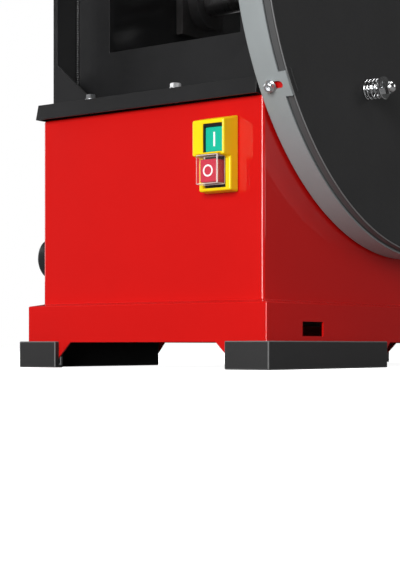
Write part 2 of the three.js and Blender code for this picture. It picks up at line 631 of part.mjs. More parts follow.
EAR_ANGLES.forEach((degrees, i) => {
  const seat = SHAFT_Y + GUARD_R + GAP;
  const socket = rod(2.9, 'y', [SCREW_X, SHAFT_Z], seat + 3, seat + 7, 6);
  const head = cut(rod(5, 'y', [SCREW_X, SHAFT_Z], seat, seat + 6, SMALL), socket);
  const screw = join(rod(3, 'y', [SCREW_X, SHAFT_Z], seat - 12, seat + 1, SMALL), head);
  addPiece(`cover_screw_${i + 1}`, aroundShaft(screw, degrees), STEEL);
});

// Stud, washer and domed cap nut, and the spring that the washer holds against the cover.
const SPRING_X = [COVER_FACE + GAP, COVER_FACE + GAP + SPRING.length];
studCentres.forEach((centre, i) => {
  const base = GUARD_BACK + GUARD_SHEET + GAP;
  const washerX = SPRING_X[1] + GAP;
  const nutX = washerX + WASHER.thick;
  const domeX = nutX + CAP_NUT.height;
  const domeR = CAP_NUT.across * 0.46;
  const dome = [[0, domeX - 1], [domeR, domeX - 1]];
  for (let step = 0; step < 4; step += 1) {
    const angle = (Math.PI / 2) * (step / 4);
    dome.push([domeR * Math.cos(angle), domeX + CAP_NUT.dome * Math.sin(angle)]);
  }
  dome.push([0, domeX + CAP_NUT.dome]);
  const stud = join(
    rod(10, 'x', centre, base, base + 2.5, SMALL),
    rod(STUD_R, 'x', centre, base, domeX, SMALL),
    rod(WASHER.r, 'x', centre, washerX, nutX, ROUND),
    rod(CAP_NUT.across / 2 / Math.cos(Math.PI / 6), 'x', centre, nutX - 0.1, domeX, 6),
    turn(dome, 'x', centre, SMALL),
  );
  addPiece(`cover_stud_${i + 1}`, stud, CHROME);
  const { outer, inner } = SPRING;
  const [from, to] = SPRING_X;
  addPiece(`cover_spring_${i + 1}`, turn([
    [inner, from], [outer, from], [outer, to], [inner, to], [inner, from],
  ], 'x', centre, SMALL), STEEL);
});

// ------------------------------------------------------------------ beam, ram and wedge

const BEAM_Z = PEDESTAL_TOP + GAP;
const webInner = BEAM_CHANNEL / 2;
const webOuter = webInner + BEAM_WEB;
const anchorY = [BEAM_FRONT + 4, BEAM_FRONT + 16]; // the return springs' anchor on top of the beam
const wedgeBase = [BEAM_TOP + GAP, BEAM_TOP + GAP + WEDGE.flange];
const wedgeBoltX = WEDGE.flangeWidth / 2 - 14;
const wedgeBolts = [-wedgeBoltX, wedgeBoltX].map((x) => [x, WEDGE.edgeY + WEDGE.length / 2]);
function beam() {
  const half = BEAM_WIDTH / 2;
  const section = [
    [-half, BEAM_UNDER_PLATE], [-webOuter, BEAM_UNDER_PLATE], [-webOuter, BEAM_Z], [-webInner, BEAM_Z],
    [-webInner, BEAM_UNDER_PLATE], [webInner, BEAM_UNDER_PLATE], [webInner, BEAM_Z], [webOuter, BEAM_Z],
    [webOuter, BEAM_UNDER_PLATE], [half, BEAM_UNDER_PLATE], [half, BEAM_TOP], [-half, BEAM_TOP],
  ];
  return cut(
    join(
      extrude(section, 'y', BEAM_FRONT, BEAM_BACK),
      box([-webOuter, webOuter], [BEAM_FRONT, BEAM_FRONT + 6], [BEAM_Z, BEAM_TOP - 1]),
      box([-webOuter, webOuter], [BEAM_BACK - 6, BEAM_BACK], [BEAM_Z, BEAM_TOP - 1]),
      box(centred(0, RAM_SHOE.width), anchorY, [BEAM_TOP - 1, BEAM_TOP + 26]),
    ),
    box(
      centred(0, SLOT_WIDTH), [TONGUE.from - 5, TONGUE.to + STROKE + 5],
      [BEAM_UNDER_PLATE - 1, BEAM_TOP + 1]),
    bore(LEVER_PIN_R + RUNNING, 'x', [LEVER_Y, LEVER_Z], -webOuter - 1, webOuter + 1),
    ...wedgeBolts.map(([x, y]) => bore(5.4, 'z', [x, y], BEAM_UNDER_PLATE - 1, BEAM_TOP + 1, SMALL)),
  );
}
addPiece('beam', beam(), BLACK_PAINT);

const rackBackY = RAM_FACE_Y - STROKE - 70;
function rack() {
  const pitch = Math.PI * MODULE;
  const root = RACK_PITCH_Z + TOOTH_ROOT;
  const outline = [[RAM_FACE_Y, RACK_TOP], [rackBackY, RACK_TOP], [rackBackY, root]];
  for (let y = rackBackY + pitch; y < RAM_FACE_Y - pitch; y += pitch) {
    outline.push([y - 4.8, root], [y - 1.7, RACK_TEETH_Z], [y + 1.7, RACK_TEETH_Z], [y + 4.8, root]);
  }
  outline.push([RAM_FACE_Y, root]);
  return extrude(outline, 'x', -GEAR_WIDTH / 2, GEAR_WIDTH / 2);
}
addPiece('rack', rack(), STEEL);

const shoeZ = [BEAM_TOP + GAP, BEAM_TOP + GAP + RAM_SHOE.height];
const shoeY = [RAM_FACE_Y - RAM_SHOE.length, RAM_FACE_Y];
addPiece('ram_shoe', join(
  box(centred(0, RAM_SHOE.width), shoeY, shoeZ),
  box(centred(0, TONGUE.width), [TONGUE.from, TONGUE.to], [RACK_TOP + GAP, shoeZ[0] + 1]),
), RED_PAINT);

function pushPlate() {
  const low = shoeZ[1] + GAP;
  const high = low + PUSH_PLATE.height;
  const backY = RAM_FACE_Y - PUSH_PLATE.thick;
  const rib = [[backY + 1, low], [backY + 1, high - 20], [shoeY[0] + 8, low + 10], [shoeY[0] + 8, low]];
  const ribs = [-0.33, 0.33].map((share) =>
    extrude(rib, 'x', ...centred(share * PUSH_PLATE.width, PUSH_PLATE.rib)));
  return join(box(centred(0, PUSH_PLATE.width), [backY, RAM_FACE_Y], [low, high]), ...ribs);
}
addPiece('push_plate', pushPlate(), RED_PAINT);

function wedge() {
  const backY = WEDGE.edgeY + WEDGE.length;
  const half = WEDGE.thick / 2;
  const blade = [
    [-1, WEDGE.edgeY], [1, WEDGE.edgeY], [half, backY - 30],
    [half, backY], [-half, backY], [-half, backY - 30],
  ];
  const base = box(centred(0, WEDGE.flangeWidth), [WEDGE.edgeY + 8, backY], wedgeBase);
  return cut(
    join(base, extrude(blade, 'z', wedgeBase[0], wedgeBase[0] + WEDGE.height)),
    ...wedgeBolts.map(([x, y]) => bore(5.4, 'z', [x, y], wedgeBase[0] - 1, wedgeBase[1] + 1, SMALL)),
  );
}
addPiece('wedge', wedge(), STEEL);
const wedgeBoltLength = WEDGE.flange + BEAM_PLATE + 6;
wedgeBolts.forEach(([x, y], i) => {
  addPiece(`wedge_bolt_${i + 1}`, hexBolt(x, y, wedgeBase[1] + GAP, 5, 17, wedgeBoltLength), STEEL);
});

// Return springs on top of the beam, from the anchor at its front end to the back of the ram.
const springZ = BEAM_TOP + 13;
for (const [name, x] of [['return_spring_left', -46], ['return_spring_right', 46]]) {
  addPiece(name, rod(9, 'y', [x, springZ], anchorY[1] + GAP, shoeY[0] - GAP, SMALL), STEEL);
}

// Side tables that hold the split halves, each with two brackets welded under it.
function logTable(side, out) {
  const inner = BEAM_WIDTH / 2 + GAP;
  const bend = inner + TABLE.flat;
  const tip = bend + out;
  const top = BEAM_TOP;
  const under = top - TABLE.thick;
  const placed = (points) => {
    const outline = points.map(([x, z]) => [side * x, z]);
    return side > 0 ? outline : outline.reverse();
  };
  const sheet = placed([
    [inner, under], [bend + 1, under], [tip, under + TABLE.rise],
    [tip - 2, top + TABLE.rise], [bend, top], [inner, top],
  ]);
  const bracket = placed([
    [webOuter + GAP, BEAM_Z + 10], [bend, under + 0.5], [inner, under + 0.5],
    [inner, BEAM_UNDER_PLATE - GAP], [webOuter + GAP, BEAM_UNDER_PLATE - GAP],
  ]);
  const brackets = [TABLE.from + 30, TABLE_END - 36].map((y) => extrude(bracket, 'y', y, y + 6));
  return join(extrude(sheet, 'y', TABLE.from, TABLE_END), ...brackets);
}
const outBesideGuard = GUARD_BACK - TABLE.guardGap - (BEAM_WIDTH / 2 + GAP + TABLE.flat);
addPiece('log_table_left', logTable(-1, TABLE.out), BLACK_PAINT);
addPiece('log_table_right', logTable(1, outBesideGuard), BLACK_PAINT);

// ------------------------------------------------------------------ engaging lever

const GRIP = { length: 125, r: 16, above: 12 };
const leverArmX = [LEVER_X - 8, LEVER_X];
function engageLever() {
  const armMiddle = (leverArmX[0] + leverArmX[1]) / 2;
  const spindle = rod(LEVER_PIN_R, 'x', [LEVER_Y, LEVER_Z], leverArmX[0] + 1, webOuter + 4);
  const hub = rod(18, 'x', [LEVER_Y, LEVER_Z], ...leverArmX);
  const arm = box(leverArmX, centred(LEVER_Y, 26), [LEVER_Z, LEVER_TOP - GRIP.length + 10]);
  const tang = rod(7, 'z', [armMiddle, LEVER_Y], LEVER_TOP - GRIP.length, LEVER_TOP, SMALL);
  return join(spindle, hub, arm, tang);
}
addPiece('engage_lever', engageLever(), STEEL);
const gripLow = LEVER_TOP - GRIP.length + 10 + GAP;
const gripCentre = [(leverArmX[0] + leverArmX[1]) / 2, LEVER_Y];
addPiece('lever_grip', cut(
  turn([
    [0, gripLow], [GRIP.r - 2, gripLow], [GRIP.r, gripLow + 8], [GRIP.r - 2, gripLow + 60],
    [GRIP.r, LEVER_TOP - 14], [GRIP.r - 3, LEVER_TOP + 6], [0, LEVER_TOP + GRIP.above],
  ], 'z', gripCentre, 24),
  rod(7 + GAP, 'z', gripCentre, gripLow - 1, LEVER_TOP + GAP, SMALL),
), RUBBER);
addPiece('press_roller', cut(
  rod(ROLLER_R, 'x', [LEVER_Y, LEVER_Z], -GEAR_WIDTH / 2, GEAR_WIDTH / 2, ROUND),
  bore(LEVER_PIN_R + RUNNING, 'x', [LEVER_Y, LEVER_Z], -GEAR_WIDTH, GEAR_WIDTH),
), STEEL);

// ------------------------------------------------------------------ switch and power inlet

function switchHousing() {
  const { upperDepth, lowerDepth, bottom, top, step } = SWITCH;
  const wall = -GAP;
  const profile = [
    [wall, bottom], [wall, top], [-upperDepth, top - 6], [-upperDepth, step], [-lowerDepth, step - 1],
    [-lowerDepth, bottom + 1],
  ];
  const opening = (button, extra) => box(
    centred(button.x, button.width + extra), [-upperDepth - 1, 1], centred(button.z, button.height + extra));
  const clearance = 2 * BUTTON_GAP;
  return cut(
    extrude(profile, 'x', ...centred(SWITCH.x, SWITCH.width)),
    opening(START, clearance),
    box(
      centred(STOP.x, STOP_CAP.width + clearance), [-upperDepth - 1, -lowerDepth + 4],
      centred(STOP.z, STOP_CAP.height + clearance)),
    opening(STOP, clearance),
  );
}
addPiece('switch_housing', switchHousing(), YELLOW);
addPiece('start_button', box(
  centred(START.x, START.width),
  [START.recess - SWITCH.upperDepth, BUTTON_BACK],
  centred(START.z, START.height),
), GREEN);
addPiece('stop_button', box(
  centred(STOP.x, STOP.width), [-STOP.front, BUTTON_BACK], centred(STOP.z, STOP.height),
), RED_PLASTIC);
const capBack = -SWITCH.lowerDepth + 0.4;
addPiece('stop_cap', cut(
  box(centred(STOP.x, STOP_CAP.width), [-STOP_CAP.front, capBack], centred(STOP.z, STOP_CAP.height)),
  box(
    centred(STOP.x, STOP_CAP.width - 2 * STOP_CAP.wall), [-STOP_CAP.front + STOP_CAP.wall, capBack + 1],
    centred(STOP.z, STOP_CAP.height - 2 * STOP_CAP.wall)),
), CLEAR);
const contactFront = BUTTON_BACK + BUTTON_TRAVEL + 1.5;
addPiece('contact_block', box(
  centred(SWITCH.x, SWITCH.width - 12),
  [contactFront, contactFront + 42.5],
  [SWITCH.bottom + 8, SWITCH.top - 8],
), BLACK_PAINT);

const inletX = [LEFT - INLET.out, LEFT - GAP];
addPiece('power_inlet', turn([
  [0, inletX[0] + INLET.depth], [INLET.socket, inletX[0] + INLET.depth], [INLET.socket, inletX[0]],
  [INLET.r - 1, inletX[0]], [INLET.r, inletX[0] + 2], [INLET.r, inletX[1]], [INLET.neck, inletX[1]],
  [INLET.neck, LEFT + SHEET + 10], [0, LEFT + SHEET + 10],
], 'x', [INLET.y, INLET.z]), RUBBER);

// ------------------------------------------------------------------ origin

// The finished model stands on z = 0 with its origin under the middle of its outer box.
const bounds = new THREE.Box3().setFromObject(model);
const middle = bounds.getCenter(new THREE.Vector3());
for (const piece of model.children) piece.geometry.translate(-middle.x, -middle.y, -bounds.min.z);

export default model;
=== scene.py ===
"""The looks of an electric kinetic log splitter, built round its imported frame."""
import logging
import math
from collections.abc import Iterable, Sequence
from dataclasses import dataclass, field
from enum import Enum

import bmesh
import bpy
from mathutils import Matrix, Vector


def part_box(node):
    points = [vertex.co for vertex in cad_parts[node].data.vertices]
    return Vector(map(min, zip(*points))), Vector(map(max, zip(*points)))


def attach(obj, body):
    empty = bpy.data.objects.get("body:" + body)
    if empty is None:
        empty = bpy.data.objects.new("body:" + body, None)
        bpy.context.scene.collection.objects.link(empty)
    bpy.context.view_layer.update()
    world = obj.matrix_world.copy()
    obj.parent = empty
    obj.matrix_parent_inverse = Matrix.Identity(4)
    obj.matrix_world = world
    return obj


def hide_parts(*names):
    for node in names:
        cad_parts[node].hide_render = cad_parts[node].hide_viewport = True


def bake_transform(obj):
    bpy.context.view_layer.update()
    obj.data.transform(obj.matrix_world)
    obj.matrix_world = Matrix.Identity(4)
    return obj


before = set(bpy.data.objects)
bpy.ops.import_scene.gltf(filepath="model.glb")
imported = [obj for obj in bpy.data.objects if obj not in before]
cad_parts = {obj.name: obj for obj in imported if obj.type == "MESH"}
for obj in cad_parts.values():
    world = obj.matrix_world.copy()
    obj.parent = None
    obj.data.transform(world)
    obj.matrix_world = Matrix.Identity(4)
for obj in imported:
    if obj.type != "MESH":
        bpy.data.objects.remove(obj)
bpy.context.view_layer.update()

MM = 0.001
Colour = tuple[float, float, float]
Spot = tuple[float, float, float]
Span = tuple[float, float]
log = logging.getLogger("log_splitter")


# ---------------------------------------------------------------- mesh kit, in millimetres


class Axis(Enum):
    """The line that a section is extruded along or turned round."""

    X = 0
    Y = 1
    Z = 2

    def place(self, along: float, a: float, b: float) -> Spot:
        """A point from its distance along the axis and its two other coordinates, in order."""
        return {Axis.X: (along, a, b), Axis.Y: (a, along, b), Axis.Z: (a, b, along)}[self]


class Cut(Enum):
    """How one solid changes another."""

    AWAY = "DIFFERENCE"
    WITH = "UNION"
    COMMON = "INTERSECT"


@dataclass(frozen=True)
class Room:
    """The box that a CAD node fills, in millimetres."""

    low: Vector
    high: Vector

    @classmethod
    def of(cls, node: str) -> "Room":
        """The box of a node of the frame."""
        low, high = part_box(node)
        return cls(low / MM, high / MM)

    @property
    def mid(self) -> Vector:
        """The middle of the box."""
        return (self.low + self.high) / 2

    def span(self, axis: Axis) -> Span:
        """The box's two ends along an axis."""
        return self.low[axis.value], self.high[axis.value]


def solid(name: str, points: Iterable[Spot], faces: Iterable[Sequence[int]],
          closed: bool = True) -> bpy.types.Object:
    """Makes a mesh object, with its doubles merged and, where it is closed, its faces outwards.

    Args:
        name: The object's name.
        points: Corner points in millimetres.
        faces: Indices of each face's corners.
        closed: False for an open shell, whose faces already point the right way.

    Returns:
        The new object, linked to the scene.
    """
    mesh = bpy.data.meshes.new(name)
    mesh.from_pydata([Vector(point) * MM for point in points], [], list(faces))
    work = bmesh.new()
    work.from_mesh(mesh)
    bmesh.ops.remove_doubles(work, verts=work.verts, dist=1e-7)
    if closed:
        bmesh.ops.recalc_face_normals(work, faces=work.faces)
    work.to_mesh(mesh)
    work.free()
    piece = bpy.data.objects.new(name, mesh)
    bpy.context.scene.collection.objects.link(piece)
    return piece


def remove(piece: bpy.types.Object) -> None:
    """Deletes a helper object and its mesh."""
    mesh = piece.data
    bpy.data.objects.remove(piece)
    bpy.data.meshes.remove(mesh)


def prism(name: str, outline: Sequence[tuple[float, float]], axis: Axis, ends: Span) -> bpy.types.Object:
    """Extrudes an outline of the axis's two other coordinates between two ends.

    Args:
        name: The object's name.
        outline: Corners in the axis's two other coordinates.
        axis: The direction it runs in.
        ends: Where it starts and ends along the axis.

    Returns:
        The solid.
    """
    count = len(outline)
    points = [axis.place(end, *corner) for end in ends for corner in outline]
    faces: list[tuple[int, ...]] = [tuple(range(count)), tuple(range(count, 2 * count))]
    faces += [(k, (k + 1) % count, count + (k + 1) % count, count + k) for k in range(count)]
    return solid(name, points, faces)


def block(name: str, x: Span, y: Span, z: Span) -> bpy.types.Object:
    """A cuboid between three pairs of planes, as a starting shape for other work."""
    return prism(name, [(x[0], y[0]), (x[1], y[0]), (x[1], y[1]), (x[0], y[1])], Axis.Z, z)


def lathe(
    name: str,
    section: Sequence[tuple[float, float]],
    axis: Axis,
    centre: tuple[float, float] = (0.0, 0.0),
    sides: int = 64,
    arc: Span | None = None,
) -> bpy.types.Object:
    """Turns a closed section round an axis.

    Args:
        name: The object's name.
        section: Points of radius and distance along the axis, all the way round the section.
        axis: The axis's direction.
        centre: The axis's place in the two other coordinates.
        sides: Steps of the turn.
        arc: First and last angle in degrees, or None for a full turn.

    Returns:
        The turned solid.
    """
    first, last = arc or (0.0, 360.0)
    rows = sides if arc is None else sides + 1
    count = len(section)
    points = []
    for row in range(rows):
        angle = math.radians(first + (last - first) * row / sides)
        for radius, along in section:
            spot = (centre[0] + radius * math.cos(angle), centre[1] + radius * math.sin(angle))
            points.append(axis.place(along, *spot))
    faces: list[tuple[int, ...]] = []
    for row in range(sides):
        after = (row + 1) % rows
        for k in range(count):
            nxt = (k + 1) % count
            faces.append((row * count + k, row * count + nxt, after * count + nxt, after * count + k))
    if arc is not None:
        faces += [tuple(range(count)), tuple(range((rows - 1) * count, rows * count))]
    return solid(name, points, faces)


def rod(name: str, radius: float, axis: Axis, centre: tuple[float, float], ends: Span,
        sides: int = 48) -> bpy.types.Object:
    """A plain bar, used as a cutter or as the start of a shaped part."""
    return lathe(name, [(0, ends[0]), (radius, ends[0]), (radius, ends[1]), (0, ends[1])], axis, centre,
                 sides)


def settle(piece: bpy.types.Object) -> bpy.types.Object:
    """Turns a piece and its modifiers into one plain mesh.

    Args:
        piece: The piece.

    Returns:
        The same piece.
    """
    graph = bpy.context.evaluated_depsgraph_get()
    mesh = bpy.data.meshes.new_from_object(
        piece.evaluated_get(graph), preserve_all_data_layers=True, depsgraph=graph)
    before = piece.data
    piece.modifiers.clear()
    piece.data = mesh
    bpy.data.meshes.remove(before)
    return piece


def shape(piece: bpy.types.Object, how: Cut, *tools: bpy.types.Object) -> bpy.types.Object:
    """Changes a piece by other solids, which are used up.

    Args:
        piece: The piece.
        how: How each tool changes it.
        tools: The other solids.

    Returns:
        The same piece.
    """
    for tool in tools:
        step = piece.modifiers.new("shape", "BOOLEAN")
        step.operation, step.solver, step.object = how.value, "EXACT", tool
        settle(piece)
        remove(tool)
    return piece


def gather(name: str, pieces: Iterable[bpy.types.Object]) -> bpy.types.Object:
    """Puts several solids in one mesh as they are; the originals are used up.

    Args:
        name: The object's name.
        pieces: The solids.

    Returns:
        The joined object.
    """
    work = bmesh.new()
    for piece in list(pieces):
        work.from_mesh(piece.data)
        remove(piece)
    mesh = bpy.data.meshes.new(name)
    work.to_mesh(mesh)
    work.free()
    whole = bpy.data.objects.new(name, mesh)
    bpy.context.scene.collection.objects.link(whole)
    return whole


def turned(piece: bpy.types.Object, degrees: float, centre: Spot) -> bpy.types.Object:
    """Turns a piece's mesh about a line along X through a point in millimetres.

    Args:
        piece: The piece.
        degrees: The turn about the line.
        centre: The point on the line.

    Returns:
        The same piece.
    """
    middle = Matrix.Translation(Vector(centre) * MM)
    piece.data.transform(middle @ Matrix.Rotation(math.radians(degrees), 4, "X") @ middle.inverted())
    return piece


def copy_of(node: str, name: str) -> bpy.types.Object:
    """A merged copy of a CAD node's mesh, with the lines inside its flat faces gone.

    Args:
        node: The CAD node's name.
        name: The copy's name.

    Returns:
        The copy.
    """
    work = bmesh.new()
    work.from_mesh(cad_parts[node].data)
    bmesh.ops.remove_doubles(work, verts=work.verts, dist=4e-6)
    bmesh.ops.dissolve_limit(work, angle_limit=math.radians(0.6), verts=work.verts, edges=work.edges)
    mesh = bpy.data.meshes.new(name)
    work.to_mesh(mesh)
    work.free()
    piece = bpy.data.objects.new(name, mesh)
    bpy.context.scene.collection.objects.link(piece)
    return piece


def rounded(piece: bpy.types.Object, width: float, steps: int = 2, angle: float = 34.0) -> bpy.types.Object:
    """Rounds a piece's edges and evens its shading.

    Args:
        piece: The solid.
        width: How far the rounding reaches from an edge, in millimetres.
        steps: Faces across the rounding.
        angle: Edges flatter than this many degrees are left alone.

    Returns:
        The same object.
    """
    bevel = piece.modifiers.new("rounding", "BEVEL")
    bevel.width, bevel.segments = width * MM, steps
    bevel.limit_method, bevel.angle_limit = "ANGLE", math.radians(angle)
    settle(piece)
    return shaded(piece, wear_and_highlight=width)


def shaded(piece: bpy.types.Object, wear_and_highlight: float = 0.0, sharp: float = 40.0) -> bpy.types.Object:
    """Smooths a piece's shading and marks its narrow edge faces, for rubbed paint and for painted edge
    highlights and reflections.

    Args:
        piece: The solid.
        wear_and_highlight: Faces narrower than about this many millimetres count as edges; 0 marks none.
        sharp: Edges over this many degrees stay crisp.

    Returns:
        The same object.
    """
    mesh = piece.data
    mesh.shade_smooth()
    mesh.set_sharp_from_angle(angle=math.radians(sharp))
    edge = mesh.attributes.get("edge") or mesh.attributes.new("edge", "FLOAT", "FACE")
    marks = []
    for face in mesh.polygons:
        corners = [mesh.vertices[v].co for v in face.vertices]
        around = sum((a - b).length for a, b in zip(corners, corners[1:] + corners[:1]))
        narrow = face.area * 2 < wear_and_highlight * MM * around
        marks.append(1.0 if narrow else 0.0)
    edge.data.foreach_set("value", marks)
    even = piece.modifiers.new("even", "WEIGHTED_NORMAL")
    even.keep_sharp, even.weight = True, 50
    return settle(piece)


# ---------------------------------------------------------------- node trees


class Wiring:
    """Adds nodes to a tree and joins them by socket name."""

    def __init__(self, tree: bpy.types.NodeTree) -> None:
        """Keeps the tree to work on."""
        self.tree = tree

    def add(self, kind: str, sockets: dict | None = None, **settings: object) -> bpy.types.Node:
        """Adds one node.

        Args:
            kind: The node's type.
            sockets: Inputs by name or number, each a plain value or another node's output.
            **settings: The node's own properties.

        Returns:
            The node.
        """
        node = self.tree.nodes.new(kind)
        for name, value in settings.items():
            setattr(node, name, value)
        for name, value in (sockets or {}).items():
            if isinstance(value, bpy.types.NodeSocket):
                self.tree.links.new(value, node.inputs[name])
            else:
                node.inputs[name].default_value = value
        return node

    def mix(self, factor: object, a: object, b: object) -> bpy.types.NodeSocket:
        """A colour between two others."""
        ends = {6: (*a, 1.0) if isinstance(a, tuple) else a, 7: (*b, 1.0) if isinstance(b, tuple) else b}
        return self.add("ShaderNodeMix", {0: factor, **ends}, data_type="RGBA").outputs[2]

    def blend(self, factor: object, a: object, b: object) -> bpy.types.NodeSocket:
        """A number between two others."""
        return self.add("ShaderNodeMix", {0: factor, 2: a, 3: b}, data_type="FLOAT").outputs[0]

    def ranged(self, value: object, low: float, high: float, to: Span = (0.0, 1.0)) -> bpy.types.NodeSocket:
        """A number moved from one range to another and held inside it."""
        sockets = {"Value": value, "From Min": low, "From Max": high, "To Min": to[0], "To Max": to[1]}
        return self.add("ShaderNodeMapRange", sockets).outputs[0]

    def maths(self, how: str, a: object, b: object) -> bpy.types.NodeSocket:
        """The result of one sum."""
        return self.add("ShaderNodeMath", {0: a, 1: b}, operation=how).outputs[0]

    def effect(self, name: str, **values: object) -> bpy.types.Node:
        """Places a shared effect with its own values."""
        return self.add("ShaderNodeGroup", {k.replace("_", " "): v for k, v in values.items()},
                        node_tree=EFFECTS[name])


def new_tree(name: str, kind: str, inputs: Iterable[tuple[str, str, object]],
             outputs: Iterable[tuple[str, str]]) -> tuple:
    """Makes a node group with named sockets.

    Args:
        name: The group's name.
        kind: ShaderNodeTree or GeometryNodeTree.
        inputs: Each input's name, socket type and default, or None.
        outputs: Each output's name and socket type.

    Returns:
        The tree, its wiring, the input node and the output node.
    """
    tree = bpy.data.node_groups.new(name, kind)
    for label, socket, default in inputs:
        made = tree.interface.new_socket(label, in_out="INPUT", socket_type=f"NodeSocket{socket}")
        if default is not None:
            made.default_value = default
    for label, socket in outputs:
        tree.interface.new_socket(label, in_out="OUTPUT", socket_type=f"NodeSocket{socket}")
    wires = Wiring(tree)
    return tree, wires, wires.add("NodeGroupInput"), wires.add("NodeGroupOutput")


def grain_effect() -> bpy.types.NodeTree:
    """Fine and broad unevenness of a surface."""
    tree, wires, given, out = new_tree("surface_grain", "ShaderNodeTree", [("Scale", "Float", 500.0)],
                                       [("Fine", "Float"), ("Broad", "Float")])
    place = wires.add("ShaderNodeTexCoord").outputs["Object"]
    fine = wires.add("ShaderNodeTexNoise", {"Vector": place, "Scale": given.outputs["Scale"], "Detail": 4.0})
    broad = wires.add("ShaderNodeTexNoise", {"Vector": place, "Scale": 9.0, "Detail": 5.0, "Roughness": 0.6})
    tree.links.new(fine.outputs["Fac"], out.inputs["Fine"])
    tree.links.new(wires.ranged(broad.outputs["Fac"], 0.3, 0.7), out.inputs["Broad"])
    return tree


def wear_and_highlight_effect() -> bpy.types.NodeTree:
    """Patches on the marked edge faces: rubbed paint on most finishes, a painted edge highlight on the red
    paint and the rubber.
    """
    tree, wires, given, out = new_tree("edge_wear", "ShaderNodeTree", [("Amount", "Float", 0.5)],
                                       [("Mask", "Float")])
    place = wires.add("ShaderNodeTexCoord").outputs["Object"]
    edge = wires.add("ShaderNodeAttribute", attribute_name="edge").outputs["Fac"]
    patches = wires.add("ShaderNodeTexNoise", {"Vector": place, "Scale": 60.0, "Detail": 8.0,
                                               "Roughness": 0.7})
    start = wires.maths("SUBTRACT", 0.92, wires.maths("MULTIPLY", given.outputs["Amount"], 0.6))
    over = wires.maths("SUBTRACT", patches.outputs["Fac"], start)
    mask = wires.maths("MULTIPLY", wires.ranged(over, 0.0, 0.08), edge)
    tree.links.new(mask, out.inputs["Mask"])
    return tree


def dust_effect() -> bpy.types.NodeTree:
    """A thin uneven film of dust on faces that look up."""
    tree, wires, given, out = new_tree("settled_dust", "ShaderNodeTree", [("Amount", "Float", 0.2)],
                                       [("Mask", "Float")])
    normal = wires.add("ShaderNodeNewGeometry").outputs["Normal"]
    up = wires.add("ShaderNodeSeparateXYZ", {0: normal}).outputs["Z"]
    place = wires.add("ShaderNodeTexCoord").outputs["Object"]
    drift = wires.add("ShaderNodeTexNoise", {"Vector": place, "Scale": 22.0, "Detail": 7.0,
                                             "Roughness": 0.65})
    film = wires.maths("MULTIPLY", wires.ranged(up, 0.4, 1.0), wires.ranged(drift.outputs["Fac"], 0.35, 0.75))
    tree.links.new(wires.maths("MULTIPLY", film, given.outputs["Amount"]), out.inputs["Mask"])
    return tree


def brushed_effect() -> bpy.types.NodeTree:
    """Fine tool lines that run along one direction."""
    tree, wires, given, out = new_tree(
        "tool_lines", "ShaderNodeTree", [("Stretch", "Vector", (1.0, 0.04, 1.0))], [("Lines", "Float")])
    place = wires.add("ShaderNodeTexCoord").outputs["Object"]
    along = wires.add("ShaderNodeVectorMath", {0: place, 1: given.outputs["Stretch"]}, operation="MULTIPLY")
    lines = wires.add("ShaderNodeTexNoise", {"Vector": along.outputs[0], "Scale": 1500.0, "Detail": 3.0})
    tree.links.new(lines.outputs["Fac"], out.inputs["Lines"])
    return tree


EFFECTS: dict[str, bpy.types.NodeTree] = {}


def repeat_tree() -> bpy.types.NodeTree:
    """A part repeated on the points of a mesh, each turned by the point's own turn."""
    tree, wires, given, out = new_tree(
        "repeated_part", "GeometryNodeTree",
        [("Seats", "Geometry", None), ("Part", "Object", None), ("Finish", "Material", None)],
        [("Geometry", "Geometry")])
    part = wires.add("GeometryNodeObjectInfo", {"Object": given.outputs["Part"]}, transform_space="ORIGINAL")
    turn = wires.add("GeometryNodeInputNamedAttribute", {"Name": "turn"}, data_type="FLOAT_VECTOR")
    spin = wires.add("FunctionNodeEulerToRotation", {0: turn.outputs[0]})
    copies = wires.add("GeometryNodeInstanceOnPoints", {
        "Points": given.outputs["Seats"], "Instance": part.outputs["Geometry"], "Rotation": spin.outputs[0]})
    real = wires.add("GeometryNodeRealizeInstances", {"Geometry": copies.outputs[0]})
    made = wires.add("GeometryNodeSetMaterial", {"Geometry": real.outputs[0],
                                                 "Material": given.outputs["Finish"]})
    tree.links.new(made.outputs[0], out.inputs["Geometry"])
    return tree


